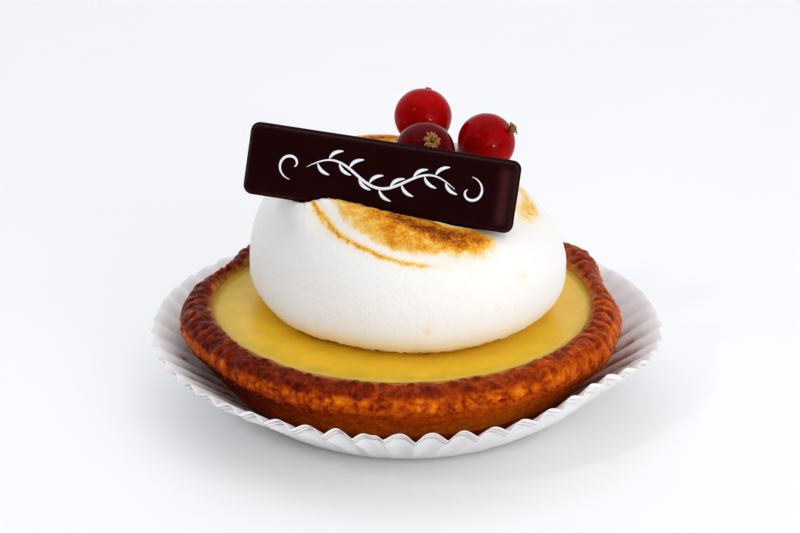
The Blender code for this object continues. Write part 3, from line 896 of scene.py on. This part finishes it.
def meringue_grain(points, radius, height):
    """Relief of the piped foam: slow swells, small lumps, fine grain, and bits that hang at its foot."""
    ragged = bell(height - FILLING_LEVEL - 0.9, 0.9) * np.clip(noise(points, 1.4, 2), -0.2, 1.0)
    foot = eased(height, FILLING_LEVEL - 0.2, FILLING_LEVEL + 0.4)
    grain = 0.06 * noise(points, 5.0) + 0.035 * noise(points, 1.7, 2) + 0.03 * noise(points, 0.6, 2)
    return foot * grain + 0.45 * ragged


def pressed(points):
    """Push out of the way what the currants and the bar take up.

    Points in a currant move out to its skin. In the bar's own space, the foam swells forward below its left
    half, the foam before its face is lifted to the lip, and what is inside its slot drops below it.
    """
    for currant in CURRANTS.values():
        away = points - currant["centre"]
        distance = np.linalg.norm(away, axis=-1, keepdims=True)
        dent = np.array(currant["centre"]) + away * (currant["radius"] + DENT_GAP) / distance
        points = np.where(distance < currant["radius"] + DENT_GAP, dent, points)
    x, y, z = np.moveaxis(into_bar(points), -1, 0)
    y = y - SWELL_FORWARD * bell(x + 13.8, 3.9) * bell(z + 7.0, 4.5) * eased(12.0 - y, 0.0, 5.0)
    (cover,) = read_table(LIP, x)
    lip = cover - BAR_HEIGHT / 2 + 0.17 * noise(points, 0.9, 2)
    close = bell(y, 1.9) * eased(z + BAR_HEIGHT / 2, -5.5, -1.5) * eased(20.0 - np.abs(x), 0.0, 3.0)
    z = z + close * np.clip(lip - z, -1.5, 1.8)
    y = np.where((np.abs(y) < 0.3) & (close > 0.9), -0.04, y)
    under = (np.abs(x) < BAR_LENGTH / 2) & (y > 0.0) & (y < BAR_THICKNESS) & (z > -BAR_HEIGHT / 2 - 0.1)
    z = np.where(under, -BAR_HEIGHT / 2 - 0.1, z)
    return out_of_bar(np.stack((x, y, z), axis=-1))


def pipe_meringue():
    """The meringue's rings, and the height of each point on the plain dome, which the toasting goes by.

    The turned outline is widened to an oval, pushed over by its lean and tipped. The crest's bump then moves
    it out and up, and the swirl, height = waist + rise (1 - reach^3)^(1/3), is laid over its top.
    """
    radius, height, angle = turned(dome_outline(), MERINGUE_AROUND)
    waves = (np.cos(2 * angle), np.sin(2 * angle), np.cos(3 * angle), np.sin(3 * angle))
    oval = 1.0 + sum(share * wave for share, wave in zip(DOME_OVAL, waves))
    lean = np.clip((height - DOME_WAIST) / DOME_RISE, 0.0, 1.0) ** 1.5
    bump = crest_bump(angle, height)
    low = np.clip((FOOT_TOP - height) / (FOOT_TOP - FILLING_LEVEL), 0.0, 1.0)
    low = low * np.clip(radius / UNDERCUT, 0.0, 1.0)
    plan = radius * oval + bulges(angle, FOOT_BULGES) * low
    x = plan * np.cos(angle) + DOME_LEAN[0] * lean
    y = plan * np.sin(angle) + DOME_LEAN[1] * lean
    tipped = np.clip((height - FILLING_LEVEL) / (DOME_WAIST - FILLING_LEVEL), 0.0, 1.0)
    plain = height + x * math.tan(DOME_TILT) * tipped * (height > UNDERSIDE + 0.3)
    x = x + 0.5 * bump * np.cos(angle) + DOME_CENTRE[0]
    y = y + 0.5 * bump * np.sin(angle) + DOME_CENTRE[1]
    z = plain + 0.85 * bump
    reach = np.hypot(x - SWIRL_CENTRE[0], y - SWIRL_CENTRE[1]) / SWIRL_RADIUS
    swirl = SWIRL_WAIST + SWIRL_RISE * np.clip(1.0 - reach**3, 0.0, 1.0) ** (1.0 / 3.0)
    z = np.where((z > DOME_WAIST) & (reach < 1.0), np.maximum(z, swirl), z)
    points = np.stack((x, y, z), axis=-1)
    points = swollen(points, meringue_grain(points, radius, height))
    return pressed(points), plain


meringue_rings, plain_height = pipe_meringue()
print("meringue", meringue_rings.shape[:2], "rings up to", round(meringue_rings[..., 2].max(), 1), "mm")

# %% [markdown]
# The torch browns what stands out. Each mark is a line on the dome, given by directions, heights and
# strength, with a width; the golden field lies between two such lines. Noise drawn out along the piping
# breaks them into the streaks and spots that a moving flame leaves. The same number also tints the two
# other things that colour white foam: curd that soaks into the ragged foot, and two faint smears of it
# higher up. It also carries a faint warm band above the foot: painted light thrown up by the curd.

# %% Toast it
# Direction in degrees, height on the dome, strength.
GOLD_LINE = (
    (-144.0, 41.2, 0.0), (-139.6, 40.2, 0.6), (-134.3, 39.05, 0.6), (-128.8, 38.6, 0.55),
    (-118.4, 37.8, 0.58), (-108.1, 37.0, 0.56), (-101.0, 36.3, 0.54), (-92.5, 35.6, 0.46),
    (-84.5, 35.2, 0.34), (-76.0, 34.8, 0.18), (-70.0, 34.6, 0.0),
)
DARK_STREAK = (
    (-108.0, 42.2, 0.0), (-100.8, 41.8, 0.68), (-95.8, 41.4, 0.92), (-85.7, 40.3, 1.1), (-77.2, 39.0, 1.14),
    (-69.2, 37.9, 1.08), (-61.0, 37.2, 0.88), (-53.7, 37.1, 0.45), (-49.0, 37.0, 0.0),
)
RIGHT_PATCH = (
    (-32.0, 37.4, 0.0), (-22.0, 38.1, 0.35), (-11.0, 37.8, 0.4), (2.0, 39.0, 0.3), (12.0, 39.3, 0.0),
)
FIELD_FOOT = (
    (-134.0, 41.6, 0.0), (-130.2, 40.7, 0.7), (-120.5, 39.4, 0.75), (-109.3, 38.6, 0.85),
    (-104.0, 37.9, 0.9), (-97.0, 37.3, 0.95), (-88.5, 36.6, 1.0), (-78.3, 36.2, 1.0), (-68.2, 36.4, 0.95),
    (-56.8, 36.9, 0.7), (-51.0, 37.1, 0.35), (-47.0, 37.2, 0.0),
)
# The field's upper edge: direction and height only.
FIELD_TOP = (
    (-135.0, 43.0), (-101.6, 43.5), (-88.0, 42.5), (-77.9, 41.2), (-71.8, 39.5), (-65.9, 38.5),
    (-58.1, 37.4), (-49.0, 36.8),
)
# Width of each line of toasting.
LINE_WIDTHS = ((GOLD_LINE, 0.36), (DARK_STREAK, 1.7), (RIGHT_PATCH, 1.6))
# The patch on the swirl behind the bar: its middle and its half widths.
BACK_PATCH = (-4.5, 3.5)
BACK_PATCH_SIZE = (5.0, 4.0)
TOASTED_ABOVE = 33.0
# Middles of the two smears of curd.
SMEARS = ((21.0, -19.2, 30.7), (4.6, -27.6, 24.2))


def toast_and_painted_light_at(points, plain):
    """How brown each point is, 0 to 1: the strongest of the marks, broken by streaks along the piping, of the
    curd's soak and smears, and of a faint warm band above the foot, painted light from the curd.
    """
    angle = np.arctan2(points[..., 1], points[..., 0] - 0.7)
    degrees = np.degrees(angle)
    on_piping = np.stack((angle * 5.0, 0.0 * angle, plain), axis=-1)
    streaks = noise(on_piping, 0.8, 3)
    spots = noise(points, 1.2, 3)
    marks = []
    for line, width in LINE_WIDTHS:
        height, strength = read_table(line, degrees)
        off_line = plain - height + 0.15 * spots
        marks.append(strength * (0.92 + 0.3 * spots) * bell(off_line, width))
        marks.append(0.42 * strength * (1.0 + 0.6 * spots) * bell(off_line, 0.4 + width))
    foot, strength = read_table(FIELD_FOOT, degrees)
    (top,) = read_table(FIELD_TOP, degrees)
    across = np.clip((plain - foot) / np.maximum(top - foot, 0.5), -1.0, 2.0)
    field = eased(plain - foot + 0.25 * spots, -0.7, 0.9) * (1.0 - eased(plain, top, top + 0.8))
    depth = 0.44 + 0.26 * np.clip(across, 0.0, 1.1) ** 1.3 + 0.13 * streaks + 0.06 * spots
    marks.append(strength * field * np.clip(depth, 0.0, 1.0))
    from_patch = np.linalg.norm((points[..., :2] - BACK_PATCH) / BACK_PATCH_SIZE, axis=-1)
    marks.append(0.92 * bell(from_patch, 1.0) * (1.0 + 0.4 * spots))
    browned = np.max(marks, axis=0) * (1.0 + 0.14 * streaks) * (points[..., 2] > TOASTED_ABOVE)
    smeared = np.max([bell(np.linalg.norm(points - smear, axis=-1), 0.9) for smear in SMEARS], axis=0)
    above_curd = points[..., 2] - FILLING_LEVEL
    # A thin line of curd soaked into the foot, and over it a faint warm band: painted light from the curd.
    soaked_and_painted_light = 0.50 * (1.0 + 0.6 * spots) * bell(above_curd - 0.1, 0.42) + 0.07 * bell(above_curd, 1.8)
    return np.clip(np.max((browned, 0.17 * smeared * (1.0 + spots), soaked_and_painted_light), axis=0), 0.0, 1.0)


def make_meringue_material():
    meringue, tree = new_material("toasted meringue")
    spotty = calculate(tree, "MULTIPLY", attribute(tree, "toast_and_painted_light"), 0.5)
    toast_and_painted_light = calculate(tree, "MULTIPLY_ADD", unevenness(tree, 0.4, 2.4), spotty, attribute(tree, "toast_and_painted_light"))
    stops = (
        (0.0, linear(242, 240, 237)),
        (0.12, linear(242, 234, 218)),
        (0.32, linear(240, 200, 112)),
        (0.52, linear(226, 158, 40)),
        (0.75, linear(190, 112, 14)),
        (1.0, linear(130, 62, 8)),
    )
    return finished(
        meringue,
        Base_Color=ramp(tree, toast_and_painted_light, stops),
        Roughness=0.82,
        Specular_IOR_Level=0.25,
        Subsurface_Weight=0.3,
        Subsurface_Scale=1.6 * MM,
        Subsurface_Radius=(1.0, 0.8, 0.6),
        Normal=relief(tree, 0.6, 0.12, 4.0),
    )


toast_and_painted_light = toast_and_painted_light_at(meringue_rings, plain_height)
meringue_mesh = ring_mesh("meringue", [meringue_rings], {"toast_and_painted_light": [toast_and_painted_light]})
add_piece("piped_meringue", meringue_mesh, "meringue", make_meringue_material())

# %% [markdown]
# ## The bar itself
# Tempered dark chocolate cast in a mould: a slab with soft edges, its face bending back a little towards
# them like a pillow, its edges nicked in handling. Rings run from the middle of the face round the rounded
# rectangle, over the edge, and back to the middle of the back, so the same ring helper closes it.

# %% Cast the bar
EDGE_RADIUS = 0.75
PILLOW_WIDTH = 3.2
PILLOW_DEPTH = 0.42
SIDE_STEPS = (110, 28, 110, 28)
CORNER_STEPS = 9
CORNER_SIGNS = ((1, 1), (-1, 1), (-1, -1), (1, -1), (1, 1))
# Where the painted reflection runs down the right end, along the bar.
SHEEN_AT = 21.3


def slab_outline(inset):
    """Rounded rectangle of the bar, drawn in by the inset: a quarter turn at each corner, and a side."""
    half = np.array((BAR_LENGTH, BAR_HEIGHT)) / 2 - inset
    corner = max(BAR_CORNER - inset, 0.02)
    points = []
    for quadrant, steps in enumerate(SIDE_STEPS):
        this_centre = np.array(CORNER_SIGNS[quadrant]) * (half - corner)
        next_centre = np.array(CORNER_SIGNS[quadrant + 1]) * (half - corner)
        angle = math.pi / 2 * (quadrant + np.linspace(0.0, 1.0, CORNER_STEPS))
        arc = this_centre + corner * np.stack((np.cos(angle), np.sin(angle)), axis=1)
        start_of_next = next_centre + corner * np.array((math.cos(angle[-1]), math.sin(angle[-1])))
        share = np.linspace(0.0, 1.0, steps + 2)[1:-1, None]
        points += [arc, arc[-1] * (1 - share) + start_of_next * share]
    return np.concatenate(points)


def make_bar_rings():
    """The bar's rings, by their insets and depths: face, quarter round, side, quarter round and back.

    The face bends back by the square of how near its edge is, the edges are nicked, and a number says where
    a lighter sheen is painted on: a painted highlight along the edges and a painted reflection down the
    right end.
    """
    quarter_turn = np.linspace(0.0, math.pi / 2, 8)
    face = np.linspace(6.2, EDGE_RADIUS + 0.3, 12)
    inset = np.concatenate((face, EDGE_RADIUS * (1 - np.sin(quarter_turn))))
    depth = np.concatenate((0.0 * face, EDGE_RADIUS * (1 - np.cos(quarter_turn))))
    side = np.linspace(EDGE_RADIUS, BAR_THICKNESS - EDGE_RADIUS, 6)[1:-1]
    insets = np.concatenate((inset, np.zeros(4), inset[::-1]))
    depths = np.concatenate((depth, side, BAR_THICKNESS - depth[::-1]))
    flat = np.stack([slab_outline(value) for value in insets])
    rings = np.stack((flat[..., 0], np.repeat(depths[:, None], flat.shape[1], 1), flat[..., 1]), axis=-1)
    at_edge = bell(np.minimum(depths, BAR_THICKNESS - depths) - 0.3, 0.5) * (insets < 1.0)
    nicks = -0.20 * at_edge[:, None] * eased(noise(rings, 0.8, 2), 0.38, 0.75)
    on_face = (depths < BAR_THICKNESS / 2)[:, None] * np.ones(flat.shape[1])
    pillow = -PILLOW_DEPTH * (1.0 - np.clip(insets / PILLOW_WIDTH, 0.0, 1.0))[:, None] ** 2 * on_face
    # A painted reflection down the right end, where the face bends back, and painted highlights on the edges.
    right_end = bell(rings[..., 0] - SHEEN_AT, 0.9) * eased(5.6 - np.abs(rings[..., 2]), 0.0, 1.6) * on_face
    edges = bell(insets - 0.35, 0.35)[:, None] * on_face * (0.5 + 0.5 * noise(rings, 1.1, 2))
    painted_sheen = np.clip(0.48 * right_end + 0.40 * edges, 0.0, 1.0)
    return swollen(rings, nicks + pillow + 0.015 * noise(rings, 3.0)), {"painted_sheen": [painted_sheen]}


def make_chocolate_material():
    chocolate, tree = new_material("dark chocolate")
    brown = blend(tree, mottle(tree, 3.0, 1.4), linear(32, 6, 8), linear(40, 8, 11))
    return finished(
        chocolate,
        # Lighter where the mask says: painted sheen.
        Base_Color=blend(tree, attribute(tree, "painted_sheen"), brown, linear(92, 52, 48)),
        Roughness=calculate(tree, "MULTIPLY_ADD", mottle(tree, 1.2, 1.2), 0.12, 0.32),
        Specular_IOR_Level=0.05,
        Normal=relief(tree, 1.2, 0.012, 2.0),
    )


bar_rings, bar_masks = make_bar_rings()
bar_mesh = ring_mesh("cast_bar", [out_of_bar(bar_rings)], bar_masks)
add_piece("cast_bar", bar_mesh, "chocolate_bar", make_chocolate_material())

# %% [markdown]
# ## Piping on the bar
# The bar's face carries fine white piping. Here it is a plain flourish: a waving stem, leaves on both
# sides and a curl at each end. Each stroke is a strand, an ellipse swept along a path, thick where the
# hand slowed and thin where it lifted. Curves with a round bevel would be quicker, but their strokes would
# all be wires.

# %% Pipe the flourish
FACE_LIFT = -0.06
STROKE_HEIGHT = 0.30
STEM_WIDTH = 0.52
LEAF_WIDTH = 0.62
CURL_WIDTH = 0.50
STEM_LENGTH = 26.0
STEM_SWING = 1.8
LEAVES = 13
CURL_PLACE = 15.6
CURL_RADIUS = 2.6


def strand(path, across, widths, heights, around=10):
    """Rings along a path, an ellipse at each point: half a width along `across`, half a height over it."""
    forward = np.gradient(path, axis=0)
    forward /= np.linalg.norm(forward, axis=1, keepdims=True)
    across = across - forward * (across * forward).sum(axis=1, keepdims=True)
    across = across / np.linalg.norm(across, axis=1, keepdims=True)
    over = np.cross(across, forward)
    turn_angle = np.linspace(0.0, 2 * math.pi, around, endpoint=False)
    wide = across[:, None] * (np.cos(turn_angle)[:, None] * widths[:, None, None] / 2)
    high = over[:, None] * (np.sin(turn_angle)[:, None] * heights[:, None, None] / 2)
    return path[:, None] + wide + high


def stroke(x, z, width):
    """A piped stroke on the bar's face along (x, z), swelling to its width and thin at both ends."""
    path = np.stack((x, np.full_like(x, FACE_LIFT), z), axis=1)
    forward = np.gradient(path, axis=0)
    across = np.stack((-forward[:, 2], 0.0 * forward[:, 0], forward[:, 0]), axis=1)
    swell = np.sin(math.pi * np.linspace(0.02, 0.98, len(x))) ** 0.6
    return out_of_bar(strand(path, across, width * swell, STROKE_HEIGHT * swell**0.5))


def flourish():
    """A waving stem, z = swing sin(3 pi t), leaves bent off it on both sides, and a spiral at each end."""
    share = np.linspace(0.0, 1.0, 90)
    stem_x = -STEM_LENGTH / 2 + STEM_LENGTH * share
    stem_z = STEM_SWING * np.sin(3 * math.pi * share)
    strokes = [stroke(stem_x, stem_z, STEM_WIDTH)]
    along = np.linspace(0.0, 1.0, 16)
    for number, place in enumerate(np.linspace(0.07, 0.93, LEAVES)):
        side = 1.0 if number % 2 else -1.0
        leaf_x = np.interp(place, share, stem_x) + 2.3 * along - 0.35 * np.sin(math.pi * along)
        leaf_z = np.interp(place, share, stem_z) + side * (2.9 * along - 1.2 * along**2 + 0.2)
        strokes.append(stroke(leaf_x, leaf_z, LEAF_WIDTH))
    turn_share = np.linspace(0.0, 1.0, 40)
    for side in (-1.0, 1.0):
        spiral = CURL_RADIUS * (1.0 - 0.8 * turn_share)
        angle = math.pi * (0.5 - 1.7 * turn_share)
        curl_x = side * (CURL_PLACE + spiral * np.cos(angle))
        curl_z = side * spiral * np.sin(angle)
        strokes.append(stroke(curl_x, curl_z, CURL_WIDTH))
    return strokes


def make_piping_material():
    piping, tree = new_material("white piping")
    white = blend(tree, mottle(tree, 0.8, 1.5), linear(224, 230, 240), linear(240, 243, 247))
    return finished(piping, Base_Color=white, Roughness=0.4)


flourish_mesh = ring_mesh("piped_flourish", flourish())
add_piece("piped_flourish", flourish_mesh, "chocolate_bar", make_piping_material())

# %% [markdown]
# ## Red currants
# A ripe currant is a tight, glossy, see-through ball with faint pale veins from stalk to flower end, where
# a brown, papery rest of the flower stays on. The ball's rings run from the flower end, slightly flattened
# and uneven; the flower's rest is a handful of curled strands, the same ones as the piping's.

# %% Grow the currants
VEINS = 10
PETAL_THICKNESS = 0.14


def currant_axes(direction):
    """Three unit vectors, the last towards the flower end, as the rows of a matrix."""
    out = np.array(direction) / np.linalg.norm(direction)
    side = np.cross((0.0, 1.0, 0.3), out)
    side /= np.linalg.norm(side)
    return np.stack((side, np.cross(out, side), out))


def berry_rings(centre, radius, flower, offset):
    """A ball from its flower end, a little flatter along it, with a slight dimple there, and its veins."""
    polar = np.linspace(0.02, math.pi - 0.02, 64)[:, None]
    angle = np.linspace(-math.pi, math.pi, 112, endpoint=False)[None, :]
    unit = in_space(np.sin(polar), angle, np.cos(polar) + 0 * angle)
    uneven = 1.0 + 0.012 * noise(unit * 2.0 + offset, 1.0) - 0.05 * bell(polar, 0.28)
    veins = np.clip(np.cos(VEINS * angle + 0.8 * noise(unit * 3.0 + offset, 1.0)), 0.0, 1.0) ** 14 + 0 * polar
    rings = unit * (1.0, 1.0, 0.985) * (radius * 0.995 * uneven)[..., None]
    return rings @ currant_axes(flower) + centre, veins * np.sin(polar) ** 0.5


def flower_end(centre, radius, flower, petals, length, spread, width, seed):
    """Dried petals: strands that rise from the dimple and curl outwards, each drawn to its own length."""
    rng = np.random.default_rng(seed)
    axes = currant_axes(flower)
    along = np.linspace(0.0, 1.0, 12)
    strands = []
    for number in range(petals):
        angle = 2 * math.pi * (number + rng.uniform(-0.25, 0.25)) / petals
        reach = spread * rng.uniform(0.75, 1.15)
        rise = length * rng.uniform(0.7, 1.1)
        out = 0.25 + reach * along**1.3
        up = radius * 0.955 + rise * np.sin(along * rng.uniform(1.6, 2.6))
        path = np.stack((out * math.cos(angle), out * math.sin(angle), up), axis=1)
        across = np.tile((-math.sin(angle), math.cos(angle), 0.0), (len(along), 1))
        widths = width * np.sin(math.pi * (0.12 + 0.85 * along)) ** 0.7
        strands.append(strand(path, across, widths, np.full(len(along), PETAL_THICKNESS), 8) @ axes + centre)
    return strands


def make_currant_material():
    currant, tree = new_material("red currant")
    ripe = calculate(tree, "MULTIPLY_ADD", mottle(tree, 3.0, 1.6), 0.45, attribute(tree, "ripeness"))
    skin = ramp(tree, ripe, ((0.0, linear(190, 0, 5)), (0.5, linear(148, 0, 2)), (1.0, linear(98, 0, 6))))
    veined = calculate(tree, "MULTIPLY", attribute(tree, "vein"), 0.07)
    return finished(
        currant,
        Base_Color=blend(tree, veined, skin, linear(206, 50, 44)),
        Roughness=0.05,
        Specular_IOR_Level=0.08,
        Subsurface_Weight=0.4,
        Subsurface_Scale=1.5 * MM,
        Subsurface_Radius=(1.0, 0.08, 0.06),
        Normal=relief(tree, 1.5, 0.01, 2.0),
    )


def make_petal_material():
    petal, tree = new_material("dried flower")
    stops = ((0.0, linear(76, 42, 20)), (0.55, linear(148, 98, 44)), (1.0, linear(202, 156, 84)))
    return finished(petal, Base_Color=ramp(tree, mottle(tree, 0.5, 2.4), stops), Roughness=0.7)


RIPENESS = {"currant_front": 0.95, "currant_rear": 0.1, "currant_right": 0.2}
FLOWER_ENDS = {
    "currant_front": {"petals": 13, "length": 0.85, "spread": 1.35, "width": 0.85, "seed": 3},
    "currant_rear": {"petals": 6, "length": 0.4, "spread": 0.35, "width": 0.5, "seed": 5},
    "currant_right": {"petals": 18, "length": 1.0, "spread": 0.95, "width": 0.95, "seed": 8},
}
currant_finish = make_currant_material()
petal_finish = make_petal_material()
for number, (node, currant) in enumerate(CURRANTS.items()):
    rings, veins = berry_rings(**currant, offset=9.0 * number)
    masks = {"vein": [veins], "ripeness": [np.full_like(veins, RIPENESS[node])]}
    add_piece(f"ripe_{node}", ring_mesh(node, [rings], masks), node, currant_finish)
    petals = flower_end(**currant, **FLOWER_ENDS[node])
    add_piece(f"flower_end_{node}", ring_mesh(f"flower_end_{node}", petals), node, petal_finish)

# %% [markdown]
# ## Loose crumbs
# Shortcrust sheds crumbs where the rim turns under, and some cling there. They are small closed grains,
# each a squashed ball of few faces with its own size and turn, scattered on the crumbly band of the
# crust's own surface, so they can't float: a random ring and place in it are picked and the grain is
# centred there.

# %% Scatter the crumbs
CRUMBS = 420
CRUMB_LOWEST = 12.4
CRUMB_HIGHEST = 15.4
# The crust's first rings lie inside its rim, where no crumbs cling.
INNER_RINGS = 20
CRUMB_CORNERS = 6


def crumb_shells():
    """Grains on the crust's outer band, each of two rings of six points, stretched and turned at random."""
    rng = np.random.default_rng(21)
    heights = crust_rings[:, 0, 2]
    in_band = (heights > CRUMB_LOWEST) & (heights < CRUMB_HIGHEST) & (np.arange(len(heights)) > INNER_RINGS)
    band = np.flatnonzero(in_band)
    angle = np.linspace(0.0, 2 * math.pi, CRUMB_CORNERS, endpoint=False)
    upper = in_space(0.9, angle, np.full_like(angle, 0.45))
    lower = in_space(0.9, angle + 0.5, np.full_like(angle, -0.45))
    shells = []
    for _ in range(CRUMBS):
        centre = crust_rings[rng.choice(band), rng.integers(CRUST_AROUND)]
        size = 0.10 + 0.16 * rng.random() ** 2
        grain = np.array((upper, lower)) * rng.uniform(0.7, 1.3, (2, CRUMB_CORNERS, 1))
        grain = grain * rng.uniform(0.7, 1.3, 3)
        turn_about = Matrix.Rotation(rng.uniform(0, 2 * math.pi), 3, Vector(rng.normal(size=3)))
        shells.append(grain @ np.array(turn_about).T * size + centre)
    return shells


grains = crumb_shells()
shades = np.random.default_rng(22).uniform(0.45, 0.9, len(grains))
crumb_masks = {"bake_and_painted_light": [np.full((2, CRUMB_CORNERS), shade) for shade in shades]}
crumb_mesh = ring_mesh("crumbs", grains, crumb_masks)
add_piece("loose_crumbs", crumb_mesh, "crust", crust_finish)

# %% [markdown]
# ## Floor
# The tartlet stands on a plain white floor that runs past the picture, so that it gets a soft shadow to
# stand in and its papers get light from below.

# %% Lay the floor
FLOOR_HALF = 3.0
FLOOR_LEVEL = -0.02 * MM


def make_floor_material():
    white, tree = new_material("white floor")
    tone = blend(tree, mottle(tree, 40.0, 1.0), linear(246, 246, 247), linear(250, 250, 250))
    return finished(white, Base_Color=tone, Roughness=0.5)


corner_signs = ((-1, -1), (1, -1), (1, 1), (-1, 1))
corners = [(x * FLOOR_HALF, y * FLOOR_HALF, FLOOR_LEVEL) for x, y in corner_signs]
floor_mesh = bpy.data.meshes.new("floor")
floor_mesh.from_pydata(corners, [], [(0, 1, 2, 3)])
floor_mesh.materials.append(make_floor_material())
floor = bpy.data.objects.new("floor", floor_mesh)
bpy.context.scene.collection.objects.link(floor)
floor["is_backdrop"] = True
print("floor", 2 * FLOOR_HALF, "m across")

# %% [markdown]
# ## The frame's box and the scene's
# The looks must stay inside the imported model's box, so both boxes are written down side by side.

# %% Write both boxes
sizes = {"frame": frame_bounds, "scene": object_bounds()}
for name, box in sizes.items():
    print(name, in_mm(box))
